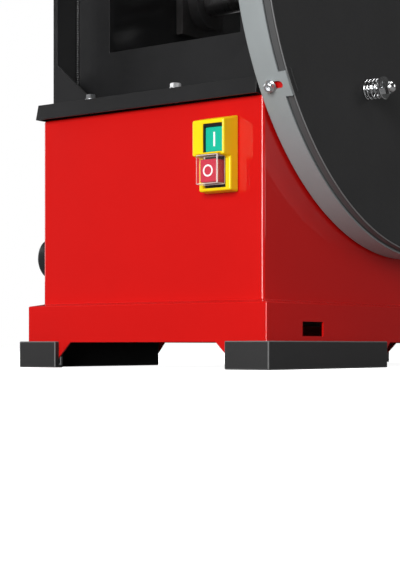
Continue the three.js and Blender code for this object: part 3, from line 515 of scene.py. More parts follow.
def coil_tree() -> bpy.types.NodeTree:
    """A wire coil along Z, with its end turns closer than the others."""
    tree, wires, given, out = new_tree("wire_coil", "GeometryNodeTree", [("Seats", "Geometry", None),
                                                                         ("Turns", "Float", 5.0),
                                                                         ("Radius", "Float", 0.01),
                                                                         ("Length", "Float", 0.02),
                                                                         ("Wire", "Float", 0.001),
                                                                         ("Closed", "Float", 0.3),
                                                                         ("Turn", "Vector", (0.0, 0.0, 0.0)),
                                                                         ("Finish", "Material", None)],
                                       [("Geometry", "Geometry")])
    spiral = wires.add("GeometryNodeCurveSpiral", {
        "Resolution": 20, "Rotations": given.outputs["Turns"], "Start Radius": given.outputs["Radius"],
        "End Radius": given.outputs["Radius"], "Height": 1.0})
    factor = wires.add("GeometryNodeSplineParameter").outputs["Factor"]
    eased = wires.add("ShaderNodeMapRange", {"Value": factor}, interpolation_type="SMOOTHSTEP").outputs[0]
    height = wires.maths("MULTIPLY", wires.blend(given.outputs["Closed"], factor, eased),
                         given.outputs["Length"])
    spot = wires.add("ShaderNodeSeparateXYZ", {0: wires.add("GeometryNodeInputPosition").outputs[0]})
    place = wires.add("ShaderNodeCombineXYZ", {0: spot.outputs[0], 1: spot.outputs[1], 2: height})
    wound = wires.add("GeometryNodeSetPosition", {"Geometry": spiral.outputs[0],
                                                  "Position": place.outputs[0]})
    ring = wires.add("GeometryNodeCurvePrimitiveCircle", {"Resolution": 8, "Radius": given.outputs["Wire"]})
    wire = wires.add("GeometryNodeCurveToMesh", {"Curve": wound.outputs[0], "Profile Curve": ring.outputs[0],
                                                 "Fill Caps": True})
    smooth = wires.add("GeometryNodeSetShadeSmooth", {"Geometry": wire.outputs[0]})
    spin = wires.add("FunctionNodeEulerToRotation", {0: given.outputs["Turn"]})
    copies = wires.add("GeometryNodeInstanceOnPoints", {
        "Points": given.outputs["Seats"], "Instance": smooth.outputs[0], "Rotation": spin.outputs[0]})
    real = wires.add("GeometryNodeRealizeInstances", {"Geometry": copies.outputs[0]})
    made = wires.add("GeometryNodeSetMaterial", {"Geometry": real.outputs[0],
                                                 "Material": given.outputs["Finish"]})
    tree.links.new(made.outputs[0], out.inputs["Geometry"])
    return tree


def weld_tree() -> bpy.types.NodeTree:
    """Overlapping scales of weld metal along the edges of a line mesh."""
    tree, wires, given, out = new_tree(
        "weld_bead", "GeometryNodeTree",
        [("Lines", "Geometry", None), ("Size", "Float", 0.003), ("Step", "Float", 0.003), ("Seed", "Int", 4),
         ("Finish", "Material", None)],
        [("Geometry", "Geometry")])
    seam = wires.add("GeometryNodeMeshToCurve", {"Mesh": given.outputs["Lines"]})
    spaced = wires.add("GeometryNodeResampleCurve", {"Curve": seam.outputs[0],
                                                     "Length": given.outputs["Step"]}, mode="LENGTH")
    scale = wires.add("GeometryNodeMeshIcoSphere", {"Radius": given.outputs["Size"], "Subdivisions": 2})
    tangent = wires.add("GeometryNodeInputTangent").outputs[0]
    along = wires.add("FunctionNodeAlignRotationToVector", {"Vector": tangent}, axis="X")
    size = wires.add("FunctionNodeRandomValue", {
        0: (0.75, 0.85, 0.85), 1: (0.95, 1.1, 1.1), "Seed": given.outputs["Seed"]}, data_type="FLOAT_VECTOR")
    copies = wires.add("GeometryNodeInstanceOnPoints", {
        "Points": spaced.outputs[0], "Instance": scale.outputs[0],
        "Rotation": along.outputs[0], "Scale": size.outputs[0]})
    real = wires.add("GeometryNodeRealizeInstances", {"Geometry": copies.outputs[0]})
    smooth = wires.add("GeometryNodeSetShadeSmooth", {"Geometry": real.outputs[0]})
    made = wires.add("GeometryNodeSetMaterial", {"Geometry": smooth.outputs[0],
                                                 "Material": given.outputs["Finish"]})
    tree.links.new(made.outputs[0], out.inputs["Geometry"])
    return tree


GROWERS: dict[str, bpy.types.NodeTree] = {}


def grow(piece: bpy.types.Object, grower: str, **values: object) -> bpy.types.Object:
    """Runs a geometry tree on a piece and keeps the result as a plain mesh.

    Args:
        piece: The object whose mesh the tree starts from.
        grower: The tree's name.
        **values: The tree's inputs by name.

    Returns:
        The same object.
    """
    step = piece.modifiers.new(grower, "NODES")
    step.node_group = GROWERS[grower]
    for item in GROWERS[grower].interface.items_tree:
        if item.item_type == "SOCKET" and item.in_out == "INPUT" and item.name in values:
            step[item.identifier] = values[item.name]
    return settle(piece)


def seats(name: str, spots: Iterable[Spot], turns: Iterable[Spot] | None = None) -> bpy.types.Object:
    """A mesh of loose points that parts are repeated on.

    Args:
        name: The object's name.
        spots: The points in millimetres.
        turns: Each point's turn about X, Y and Z in degrees, or None for no turn.

    Returns:
        The object.
    """
    places = list(spots)
    mesh = bpy.data.meshes.new(name)
    mesh.from_pydata([Vector(spot) * MM for spot in places], [], [])
    angles = list(turns) if turns is not None else [(0.0, 0.0, 0.0)] * len(places)
    turn = mesh.attributes.new("turn", "FLOAT_VECTOR", "POINT")
    turn.data.foreach_set("vector", [math.radians(a) for angle in angles for a in angle])
    piece = bpy.data.objects.new(name, mesh)
    bpy.context.scene.collection.objects.link(piece)
    return piece


# ---------------------------------------------------------------- finishes


@dataclass(frozen=True)
class Finish:
    """A surface finish, named for the record's slot that it belongs to."""

    name: str
    slot: str | None
    colour: Colour
    roughness: float

    def material(self) -> bpy.types.Material:
        """The finish as a material, built the first time that it is asked for."""
        title = f"{self.name}_finish"
        found = bpy.data.materials.get(title)
        if found is not None:
            return found
        made = bpy.data.materials.new(title)
        made.use_nodes = True
        made.node_tree.nodes.clear()
        wires = Wiring(made.node_tree)
        shader = wires.add("ShaderNodeBsdfPrincipled")
        wires.add("ShaderNodeOutputMaterial", {"Surface": shader.outputs[0]})
        self.coat(wires, shader)
        return made

    def coat(self, wires: Wiring, shader: bpy.types.Node) -> None:
        """Wires the finish into the shader; each kind of finish has its own.

        Args:
            wires: The material's wiring.
            shader: The Principled shader.
        """
        raise NotImplementedError

    def tint(self, by: float) -> Colour:
        """The finish's colour, made lighter or darker."""
        return tuple(min(1.0, channel * by) for channel in self.colour)


@dataclass(frozen=True)
class Paint(Finish):
    """Sprayed or powder paint on steel."""

    second: float = 0.9
    gloss: float = 0.5
    coat_weight: float = 0.0
    coat_roughness: float = 0.05
    grain: float = 900.0
    depth: float = 0.00001
    wear: float = 0.3
    dust: float = 0.12
    bare_and_highlight: Colour = (0.42, 0.41, 0.4)

    def coat(self, wires: Wiring, shader: bpy.types.Node) -> None:
        """Paint colour with drift, rubbed edges, dust and the spray's own texture; on the red paint the
        rubbed-edge colour is a painted highlight.

        Args:
            wires: The material's wiring.
            shader: The Principled shader.
        """
        grain = wires.effect("surface_grain", Scale=self.grain)
        wear_and_highlight = wires.effect("edge_wear", Amount=self.wear).outputs["Mask"]
        dust = wires.effect("settled_dust", Amount=self.dust).outputs["Mask"]
        colour = wires.mix(grain.outputs["Broad"], self.colour, self.tint(self.second))
        # Edge patches take the edge colour: rubbed-through steel on most paints, a painted pinkish highlight
        # on the red paint.
        colour = wires.mix(wear_and_highlight, colour, self.bare_and_highlight)
        colour = wires.mix(dust, colour, (0.42, 0.39, 0.35))
        rough = wires.ranged(grain.outputs["Fine"], 0.3, 0.7, (self.roughness - 0.05, self.roughness + 0.06))
        rough = wires.blend(dust, rough, 0.85)
        bump = wires.add("ShaderNodeBump", {"Height": grain.outputs["Fine"], "Strength": 1.0,
                                            "Distance": self.depth})
        tree = wires.tree
        tree.links.new(colour, shader.inputs["Base Color"])
        tree.links.new(rough, shader.inputs["Roughness"])
        tree.links.new(wear_and_highlight, shader.inputs["Metallic"])
        tree.links.new(bump.outputs[0], shader.inputs["Normal"])
        shader.inputs["Specular IOR Level"].default_value = self.gloss
        shader.inputs["Coat Weight"].default_value = self.coat_weight
        shader.inputs["Coat Roughness"].default_value = self.coat_roughness


@dataclass(frozen=True)
class Metal(Finish):
    """Bare or plated metal."""

    lines: Spot = (1.0, 1.0, 1.0)
    depth: float = 0.000004
    stain: float = 0.25
    stain_colour: Colour = (0.16, 0.12, 0.09)
    dust: float = 0.06

    def coat(self, wires: Wiring, shader: bpy.types.Node) -> None:
        """Metal with tool lines, uneven stain and a little dust.

        Args:
            wires: The material's wiring.
            shader: The Principled shader.
        """
        grain = wires.effect("surface_grain", Scale=320.0)
        lines = wires.effect("tool_lines", Stretch=self.lines).outputs["Lines"]
        dust = wires.effect("settled_dust", Amount=self.dust).outputs["Mask"]
        stained = wires.maths("MULTIPLY", wires.ranged(grain.outputs["Broad"], 0.35, 1.0), self.stain)
        colour = wires.mix(lines, self.tint(0.82), self.tint(1.1))
        colour = wires.mix(stained, colour, self.stain_colour)
        colour = wires.mix(dust, colour, (0.42, 0.39, 0.35))
        rough = wires.ranged(lines, 0.3, 0.7, (self.roughness - 0.06, self.roughness + 0.08))
        rough = wires.blend(wires.maths("MAXIMUM", stained, dust), rough, 0.7)
        height = wires.blend(0.35, lines, grain.outputs["Fine"])
        bump = wires.add("ShaderNodeBump", {"Height": height, "Strength": 1.0, "Distance": self.depth})
        tree = wires.tree
        tree.links.new(colour, shader.inputs["Base Color"])
        tree.links.new(rough, shader.inputs["Roughness"])
        tree.links.new(wires.blend(dust, 1.0, 0.3), shader.inputs["Metallic"])
        tree.links.new(bump.outputs[0], shader.inputs["Normal"])


@dataclass(frozen=True)
class Moulded(Finish):
    """Moulded plastic or rubber."""

    grain: float = 1400.0
    depth: float = 0.00002
    gloss: float = 0.5
    scuff_and_highlight: float = 0.2
    scuff_and_highlight_colour: Colour = (0.3, 0.3, 0.3)
    dust: float = 0.1
    under: float = 0.0

    def coat(self, wires: Wiring, shader: bpy.types.Node) -> None:
        """A mould's fine grain, scuffed edges and dust; on the rubber the edge colour is a painted highlight
        line.

        Args:
            wires: The material's wiring.
            shader: The Principled shader.
        """
        grain = wires.effect("surface_grain", Scale=self.grain)
        wear_and_highlight = wires.effect("edge_wear", Amount=self.scuff_and_highlight).outputs["Mask"]
        dust = wires.effect("settled_dust", Amount=self.dust).outputs["Mask"]
        colour = wires.mix(grain.outputs["Broad"], self.tint(0.94), self.tint(1.06))
        # Edge patches: real scuffs on plastic, a painted highlight line on the rubber.
        colour = wires.mix(wires.maths("MULTIPLY", wear_and_highlight, 0.6), colour, self.scuff_and_highlight_colour)
        colour = wires.mix(dust, colour, (0.42, 0.39, 0.35))
        rough = wires.ranged(grain.outputs["Fine"], 0.3, 0.7, (self.roughness - 0.05, self.roughness + 0.07))
        bump = wires.add("ShaderNodeBump", {"Height": grain.outputs["Fine"], "Strength": 1.0,
                                            "Distance": self.depth})
        tree = wires.tree
        tree.links.new(colour, shader.inputs["Base Color"])
        tree.links.new(rough, shader.inputs["Roughness"])
        tree.links.new(bump.outputs[0], shader.inputs["Normal"])
        shader.inputs["Specular IOR Level"].default_value = self.gloss
        shader.inputs["Subsurface Weight"].default_value = self.under
        shader.inputs["Subsurface Radius"].default_value = (0.002, 0.002, 0.001)
        shader.inputs["Subsurface Scale"].default_value = 1.0


@dataclass(frozen=True)
class Clear(Finish):
    """Clear moulded plastic, whiter and more opaque at its edges as a painted reflection."""

    haze: float = 0.02
    rim: float = 0.6

    def coat(self, wires: Wiring, shader: bpy.types.Node) -> None:
        """Clear plastic with a slightly uneven polish.

        Args:
            wires: The material's wiring.
            shader: The Principled shader.
        """
        grain = wires.effect("surface_grain", Scale=260.0)
        colour = wires.mix(grain.outputs["Broad"], self.colour, self.tint(0.96))
        rough = wires.ranged(grain.outputs["Fine"], 0.3, 0.7, (self.roughness, self.roughness + 0.04))
        edge = wires.add("ShaderNodeAttribute", attribute_name="edge").outputs["Fac"]
        wires.tree.links.new(colour, shader.inputs["Base Color"])
        wires.tree.links.new(rough, shader.inputs["Roughness"])
        # Painted reflection: edge faces are drawn nearly opaque in the pale warm cap colour.
        wires.tree.links.new(wires.blend(edge, self.haze, self.rim), shader.inputs["Alpha"])


# Red paint: its pinkish edge colour is a painted highlight along the edges, not rubbed-through steel.
RED_PAINT = Paint("red_paint", "red_paint", (0.60, 0.0042, 0.0030), 0.45, second=0.95, gloss=0.1,
                  coat_weight=1.0, coat_roughness=0.035, grain=700.0, depth=0.0000015, wear=0.12, dust=0.015,
                  bare_and_highlight=(0.85, 0.2, 0.16))
BLACK_PAINT = Paint("black_paint", "black_paint", (0.009, 0.009, 0.0095), 0.38, second=1.6, gloss=0.4,
                    coat_weight=0.25, coat_roughness=0.12, grain=600.0, depth=0.000010, wear=0.25, dust=0.04,
                    bare_and_highlight=(0.22, 0.22, 0.22))
GREY_PAINT = Paint("grey_paint", "grey_paint", (0.30, 0.325, 0.33), 0.42, second=0.88, gloss=0.4, grain=900.0,
                   depth=0.00001, wear=0.3, dust=0.03, bare_and_highlight=(0.75, 0.75, 0.74))
TEXTURED_BLACK = Paint("textured_black", "textured_black", (0.019, 0.019, 0.0195), 0.72, second=1.3,
                       gloss=0.35, grain=1500.0, depth=0.00012, wear=0.4, dust=0.03, bare_and_highlight=(0.4, 0.4, 0.4))
RIM_BLACK = Paint("rim_black", "textured_black", (0.075, 0.075, 0.076), 0.5, second=1.1, gloss=0.4,
                  grain=1500.0, depth=0.00004, wear=0.3, dust=0.02, bare_and_highlight=(0.4, 0.4, 0.4))
# A lighter grey copy of the textured black for the cover's edge bead: a painted highlight line.
RIM_EDGE_HIGHLIGHT = Paint("rim_edge_highlight", "textured_black", (0.17, 0.17, 0.172), 0.45, second=1.1, gloss=0.5, grain=1500.0,
                 depth=0.00004, wear=0.3, dust=0.02, bare_and_highlight=(0.5, 0.5, 0.5))
CAST_IRON = Metal("cast_iron", "cast_iron", (0.16, 0.16, 0.165), 0.6, depth=0.0003, stain=0.5,
                  stain_colour=(0.07, 0.055, 0.045))
STEEL_ALONG = Metal("machined_steel", "machined_steel", (0.62, 0.62, 0.63), 0.3, lines=(1.0, 0.03, 1.0),
                    stain=0.22)
STEEL_UP = Metal("machined_steel_upright", "machined_steel", (0.62, 0.62, 0.63), 0.32, lines=(1.0, 1.0, 0.03),
                 stain=0.2)
STEEL_ROUND = Metal("machined_steel_round", "machined_steel", (0.6, 0.6, 0.61), 0.28, lines=(1.0, 0.05, 0.05),
                    stain=0.15)
ZINC = Metal("zinc_steel", "zinc_steel", (0.72, 0.73, 0.75), 0.3, stain=0.12, stain_colour=(0.5, 0.45, 0.3))
CHROME = Metal("chrome", "chrome", (0.86, 0.87, 0.88), 0.1, depth=0.000001, stain=0.03, dust=0.02)
# Rubber: nearly every edge face turns light grey, a painted highlight line along the shoes' corners.
RUBBER = Moulded("rubber", "rubber", (0.015, 0.015, 0.0155), 0.6, grain=1100.0, depth=0.00004, scuff_and_highlight=1.0,
                 scuff_and_highlight_colour=(0.2, 0.2, 0.2), dust=0.04)
BLACK_PLASTIC = Moulded("black_plastic", "black_plastic", (0.011, 0.011, 0.012), 0.3, dust=0.03)
YELLOW_PLASTIC = Moulded("yellow_plastic", "yellow_plastic", (0.94, 0.66, 0.002), 0.34, depth=0.000008,
                         scuff_and_highlight=0.0, dust=0.0, under=0.12)
GREEN_PLASTIC = Moulded("green_plastic", "green_plastic", (0.008, 0.46, 0.30), 0.3, depth=0.000006, scuff_and_highlight=0.0,
                        dust=0.0)
RED_PLASTIC = Moulded("red_plastic", "red_plastic", (0.56, 0.010, 0.042), 0.32, depth=0.000006, scuff_and_highlight=0.0,
                      dust=0.0)
CLEAR_PLASTIC = Clear("clear_plastic", "clear_plastic", (0.95, 0.88, 0.84), 0.04)
WHITE_PRINT = Moulded("white_print", None, (0.9, 0.9, 0.9), 0.4, depth=0.000004, scuff_and_highlight=0.0, dust=0.0)
BRASS = Metal("brass", None, (0.72, 0.52, 0.22), 0.3, stain=0.2)


def dress(piece: bpy.types.Object, finish: Finish, body: str,
          stands_for: Sequence[str] = ()) -> bpy.types.Object:
    """Gives a piece its finish and its body, and hides the CAD nodes that it stands for.

    Args:
        piece: The finished mesh.
        finish: Its finish.
        body: The CAD body that it moves with.
        stands_for: The CAD nodes that it replaces.

    Returns:
        The same object.
    """
    finished(piece, finish, stands_for)
    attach(piece, body)
    return piece


def finished(piece: bpy.types.Object, finish: Finish, stands_for: Sequence[str] = ()) -> bpy.types.Object:
    """Gives a piece its finish and hides the CAD nodes that it stands for, but gives it no body.

    Args:
        piece: The piece.
        finish: Its finish.
        stands_for: The CAD nodes that it takes the place of.

    Returns:
        The same piece.
    """
    piece.data.materials.clear()
    piece.data.materials.append(finish.material())
    if stands_for:
        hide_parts(*stands_for)
    log.info("%s: %d faces, %s", piece.name, len(piece.data.polygons), finish.name)
    return piece


def carry_over(finish: Finish, *nodes: str) -> None:
    """Gives CAD nodes that stay as they are a finish.

    Args:
        finish: Their finish.
        nodes: The nodes' names.
    """
    for name in nodes:
        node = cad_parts[name]
        if not node.material_slots:
            node.data.materials.append(None)
        for slot in node.material_slots:
            slot.material = finish.material()


def soft_copy(node: str, finish: Finish, body: str, width: float, steps: int = 2) -> bpy.types.Object:
    """Replaces a CAD node by its own shape with rounded edges."""
    return dress(rounded(copy_of(node, f"{node}_piece"), width, steps), finish, body, [node])


def weld(name: str, lines: Iterable[Sequence[Spot]], size: float, finish: Finish,
         body: str) -> bpy.types.Object:
    """Lays weld beads along lines of points.

    Args:
        name: The piece's name.
        lines: Each seam's points in millimetres.
        size: The bead's half width in millimetres.
        finish: The paint over it.
        body: The body that it is on.

    Returns:
        The piece.
    """
    points: list[Spot] = []
    edges: list[tuple[int, int]] = []
    for line in lines:
        first = len(points)
        points += list(line)
        edges += [(first + k, first + k + 1) for k in range(len(line) - 1)]
    mesh = bpy.data.meshes.new(name)
    mesh.from_pydata([Vector(point) * MM for point in points], edges, [])
    piece = bpy.data.objects.new(name, mesh)
    bpy.context.scene.collection.objects.link(piece)
    grow(piece, "weld_bead", Size=size * MM, Step=size * MM, Seed=4, Finish=finish.material())
    return dress(piece, finish, body)


def arc(radius: float, centre: tuple[float, float], degrees: Span, steps: int) -> list[tuple[float, float]]:
    """Points on part of a circle, both ends included."""
    angles = [math.radians(degrees[0] + (degrees[1] - degrees[0]) * k / steps) for k in range(steps + 1)]
    return [(centre[0] + radius * math.cos(a), centre[1] + radius * math.sin(a)) for a in angles]


# ---------------------------------------------------------------- fasteners


@dataclass(frozen=True)
class HexBolt:
    """A hexagon-head bolt with its washer, standing on z = 0 along +Z."""

    across: float
    shank: float
    length: float
    washer_thick: float = 1.5

    def prototype(self) -> bpy.types.Object:
        """The bolt at the origin, ready to be repeated."""
        corner = self.across / 2 / math.cos(math.pi / 6)
        top = self.washer_thick + self.across * 0.5
        hexagon = prism("head", arc(corner, (0, 0), (0, 300), 5), Axis.Z, (self.washer_thick, top))
        dome = [(0, self.washer_thick - 1), (corner + 1, self.washer_thick - 1), (corner + 1, top - 1.3),
                (corner - 0.9, top - 0.02), (0, top - 0.02)]
        head = shape(hexagon, Cut.COMMON, lathe("dome", dome, Axis.Z, sides=36))
        rim = self.across * 0.68
        washer = lathe("washer", [(0, 0), (rim, 0), (rim, self.washer_thick - 0.3),
                                  (rim - 0.3, self.washer_thick), (0, self.washer_thick)], Axis.Z, sides=36)
        shank = rod("shank", self.shank, Axis.Z, (0, 0), (-self.length, 0.5), 20)
        return shaded(gather("bolt", [head, washer, shank]))


def fasten(name: str, bolt: bpy.types.Object, spots: Iterable[Spot], finish: Finish, body: str,
           stands_for: Sequence[str] = (), turns: Iterable[Spot] | None = None) -> bpy.types.Object:
    """Repeats a fastener on its seats as one piece.

    Args:
        name: The piece's name.
        bolt: The fastener at the origin; it is used up.
        spots: Where each one sits, in millimetres.
        finish: Its finish.
        body: The body that it is on.
        stands_for: The CAD nodes that it replaces.
        turns: Each one's turn in degrees.

    Returns:
        The piece.
    """
    piece = seats(name, spots, turns)
    grow(piece, "repeated_part", Part=bolt, Finish=finish.material())
    remove(bolt)
    return dress(piece, finish, body, stands_for)


# ---------------------------------------------------------------- cabinet


@dataclass
class Cabinet:
    """The sheet-steel cabinet: walls, ledge, skirt, legs and floor pan."""

    sheet: float = 2.0
    skirt: float = 12.0
    ledge_edge: float = 68.2
    ledge_top: float = 70.4
    corner: float = 3.4
    skirt_corner: float = 1.4
    fold: float = 22.0
    skirt_bottom: float = 28.0
    end_leg: float = 63.0
    side_leg: float = 245.0
    slot_y: Span = (65.0, 105.0)
    slot_z: Span = (34.0, 49.0)
    vent_rows: int = 5
    vent_pitch: float = 18.0
    vent_first: float = 150.0
    room: Room = field(default_factory=lambda: Room.of("cabinet_shell"))

    def section(self) -> list[tuple[float, float]]:
        """Points of outset from the wall and height, from the legs' feet to the top fold."""
        low, top = self.room.low.z, self.room.high.z
        out, edge, crest = self.skirt, self.ledge_edge, self.ledge_top
        points = [(out, low), (out, edge - 1.4)]
        points += arc(1.2, (out - 1.2, edge - 1.2), (8, 78), 4)
        points += [(1.0, crest - 0.1), (0.4, crest + 0.2), (0.0, crest + 1.0)]
        points += [(0.0, top - 2.2)] + arc(2.2, (-2.2, top - 2.2), (20, 90), 4)
        return points + [(-self.fold, top)]

    def loop(self, outset: float, height: float) -> list[Spot]:
        """A rounded rectangle round the cabinet at one height.

        Args:
            outset: How far it lies outside the cabinet's walls.
            height: Its height above the floor.

        Returns:
            Its points.
        """
        low, high = self.room.low, self.room.high
        r = self.corner + (self.skirt_corner - self.corner) * max(outset, 0.0) / self.skirt
        x = (low.x + self.skirt - outset, high.x - self.skirt + outset)
        y = (low.y + self.skirt - outset, high.y - self.skirt + outset)
        points: list[Spot] = []
        for cx, cy, first in ((x[1] - r, y[0] + r, -90), (x[1] - r, y[1] - r, 0), (x[0] + r, y[1] - r, 90),
                              (x[0] + r, y[0] + r, 180)):
            points += [(a, b, height) for a, b in arc(r, (cx, cy), (first, first + 90), 6)]
        return points

    def shell(self) -> bpy.types.Object:
        """The walls, with every opening cut."""
        loops = [self.loop(*point) for point in self.section()]
        count = len(loops[0])
        faces = [(row * count + k, row * count + (k + 1) % count, (row + 1) * count + (k + 1) % count,
                  (row + 1) * count + k) for row in range(len(loops) - 1) for k in range(count)]
        piece = solid("cabinet_walls", [p for ring in loops for p in ring], faces, closed=False)
        wall = piece.modifiers.new("sheet", "SOLIDIFY")
        wall.thickness, wall.offset, wall.use_even_offset = self.sheet * MM, -1.0, True
        settle(piece)
        legs = (self.leg_opening(Axis.Y), self.leg_opening(Axis.X))
        shape(piece, Cut.AWAY, *legs, gather("openings", self.openings()))
        return rounded(piece, 0.35, 1, 62.0)

    def leg_opening(self, axis: Axis) -> bpy.types.Object:
        """The gap between two legs, cut right through along an axis.

        Args:
            axis: The direction of the cut.

        Returns:
            The tool to cut with.
        """
        low, high = self.room.low, self.room.high
        leg, across = (self.end_leg, (low.x, high.x)) if axis is Axis.Y else (self.side_leg, (low.y, high.y))
        a, b, top = across[0] + leg, across[1] - leg, self.skirt_bottom
        outline = [(a, top), (a - top - 1, -1), (b + top + 1, -1), (b, top)]
        ends = (low.y - 5, high.y + 5) if axis is Axis.Y else (low.x - 5, high.x + 5)
        return prism("leg_opening", outline, axis, ends)

    def openings(self) -> list[bpy.types.Object]:
        """Cutters for the tie slots, the switch, the inlet, the motor shaft and the vents."""
        low, high = self.room.low, self.room.high
        switch, inlet = Room.of("switch_housing"), Room.of("power_inlet").mid
        motor = Room.of("motor_shaft").mid
        tools = [
            block("slot", (side - 6, side + 6), (low.y + self.slot_y[0], low.y + self.slot_y[1]), self.slot_z)
            for side in (low.x, high.x)
        ]
        front = low.y + self.skirt
        tools.append(block("hole", (switch.low.x + 2, switch.high.x - 2), (front - 3, front + 5),
                           (switch.low.z + 6, switch.high.z - 6)))
        left = low.x + self.skirt
        tools.append(rod("bore", 17.5, Axis.X, (inlet.y, inlet.z), (left - 3, left + 5)))
        right = high.x - self.skirt
        tools.append(rod("bore", 17.5, Axis.X, (motor.y, motor.z), (right - 5, right + 3)))
        back = high.y - self.skirt
        for x, z in self.vents():
            tools.append(block("vent", (x - 40, x + 40), (back - 5, back + 3), (z, z + 6)))
        return tools

    def vents(self) -> list[tuple[float, float]]:
        """The middle and the sill of each louvre."""
        middle = self.room.mid.x
        return [(middle + side * 60, self.vent_first + row * self.vent_pitch) for side in (-1, 1)
                for row in range(self.vent_rows)]

    def louvres(self) -> bpy.types.Object:
        """Pressed hoods over the rear vents."""
        hood = [(0.0, 12.0), (1.2, 11.6), (5.5, 7.0), (6.2, 5.6), (5.4, 5.0), (0.6, 10.2), (0.0, 10.4)]
        part = prism("hood", hood, Axis.X, (-43.0, 43.0))
        ends = [prism("end", [(0, 3.6), (0, 12.0), (1.2, 11.6), (5.5, 7.0), (6.2, 5.6)], Axis.X, span)
                for span in ((-43.5, -42.3), (42.3, 43.5))]
        part = rounded(gather("hood", [part, *ends]), 0.3, 1)
        back = self.room.high.y - self.skirt
        piece = seats("rear_louvres", [(x, back, z - 3) for x, z in self.vents()])
        grow(piece, "repeated_part", Part=part, Finish=RED_PAINT.material())
        remove(part)
        return piece

    def build(self) -> None:
        """Makes the cabinet and gives it its paint."""
        dress(self.shell(), RED_PAINT, "root", ["cabinet_shell"])
        dress(self.louvres(), RED_PAINT, "root")
        soft_copy("base_pan", BLACK_PAINT, "root", 0.4, 1)


@dataclass
class Feet:
    """The four moulded shoes under the legs."""

    names: tuple[str, ...] = ("front_left", "front_right", "rear_left", "rear_right")
    rounding: float = 1.1

    def build(self) -> None:
        """Makes each shoe."""
        for name in self.names:
            soft_copy(f"foot_cap_{name}", RUBBER, "root", self.rounding, 3)


@dataclass
class Deck:
    """The deck plate with its rim and bolts."""

    rounding: float = 1.3
    bolt: HexBolt = HexBolt(across=10, shank=3, length=14)

    def build(self) -> None:
        """Makes the tray and its bolts."""
        soft_copy("deck_tray", BLACK_PAINT, "root", self.rounding, 3)
        nodes = [f"deck_bolt_{k}" for k in range(1, 5)]
        top = Room.of("deck_tray").high.z
        spots = [(Room.of(n).mid.x, Room.of(n).mid.y, top) for n in nodes]
        turns = [(0.0, 0.0, angle) for angle in (9.0, 31.0, -14.0, 22.0)]
        fasten("deck_bolts", self.bolt.prototype(), spots, ZINC, "root", nodes, turns)


@dataclass
class Pedestal:
    """The welded frame that carries the shaft, the beam and the lever."""

    rounding: float = 0.8
    bead: float = 2.6
    bolt: HexBolt = HexBolt(across=13, shank=4, length=3.4)
    bearing_bolt: HexBolt = HexBolt(across=13, shank=4, length=4)
    bearing_pitch: float = 29.0
    plate: float = 6.0

    def build(self) -> None:
        """Makes the frame, its welds, bearings and bolts."""
        room = Room.of("pedestal_frame")
        soft_copy("pedestal_frame", BLACK_PAINT, "root", self.rounding)
        nodes = [f"pedestal_bolt_{k}" for k in range(1, 5)]
        spots = [(Room.of(n).mid.x, Room.of(n).mid.y, room.low.z + 4) for n in nodes]
        turns = [(0.0, 0.0, angle) for angle in (4.0, 17.0, -21.0, 12.0)]
        fasten("pedestal_bolts", self.bolt.prototype(), spots, ZINC, "root", nodes, turns)
        self.bearings(room)
        self.welds(room)

    def bearings(self, room: Room) -> None:
        """The two flanged bearing blocks and the bolts that hold them through the plates.

        Args:
            room: The pedestal's box.
        """
        for side in ("left", "right"):
            soft_copy(f"bearing_{side}", CAST_IRON, "root", 1.4)
        shaft = Room.of("drive_shaft").mid
        step = self.bearing_pitch
        seats_on = [(room.low.x, -90.0), (room.high.x, 90.0)]
        spots = [(x, shaft.y + a, shaft.z + b)
                 for x, _ in seats_on for a in (-step, step) for b in (-step + 4, step - 8)]
        turns = [(0.0, angle, 0.0) for _, angle in seats_on for _ in range(4)]
        fasten("bearing_bolts", self.bearing_bolt.prototype(), spots, ZINC, "root", (), turns)

    def welds(self, room: Room) -> None:
        """Beads along the cross plates, the flanges and under the beam.

        Args:
            room: The pedestal's box.
        """
        low, high, size = room.low, room.high, self.bead
        inner = (low.x + self.plate, high.x - self.plate)
        lines: list[list[Spot]] = []
        for y in (low.y + 34, low.y + 40, high.y - 40, high.y - 34):
            for x, side in ((inner[0], 1), (inner[1], -1)):
                lines.append([(x + side * size * 0.3, y, low.z + 6), (x + side * size * 0.3, y, low.z + 150)])
        beam = Room.of("beam")
        for x in (beam.mid.x - 28 - size * 0.3, beam.mid.x + 28 + size * 0.3):
            for y in (low.y + 34, low.y + 40, high.y - 40, high.y - 34):
                lines.append([(x, y - 3, beam.low.z), (x, y + 3, beam.low.z)])
        weld("pedestal_welds", lines, size, BLACK_PAINT, "root")


# ---------------------------------------------------------------- drive


@dataclass
class Drive:
    """Shafts, gear, flywheel, motor and belt, most of it inside."""

    shaft_chamfer: float = 1.5

    def build(self) -> None:
        """Makes the shaft and dresses the parts inside."""
        room = Room.of("drive_shaft")
        r, (first, last), c = (room.high.z - room.low.z) / 2, room.span(Axis.X), self.shaft_chamfer
        section = [(0, first + 6), (1.6, first + 6), (3.2, first), (r - c, first), (r, first + c),
                   (r, last - c), (r - c, last), (0, last)]
        shaft = lathe("drive_shaft_piece", section, Axis.X, (room.mid.y, room.mid.z), 72)
        dress(shaded(shaft, wear_and_highlight=1.6), STEEL_ROUND, "drive_rotor", ["drive_shaft"])
        carry_over(STEEL_ROUND, "pinion")
        carry_over(RED_PAINT, "flywheel")
        carry_over(STEEL_ROUND, "motor_shaft")
        carry_over(CAST_IRON, "motor_pulley", "motor_body")
        carry_over(RUBBER, "drive_belt")
        carry_over(BLACK_PAINT, "contact_block")


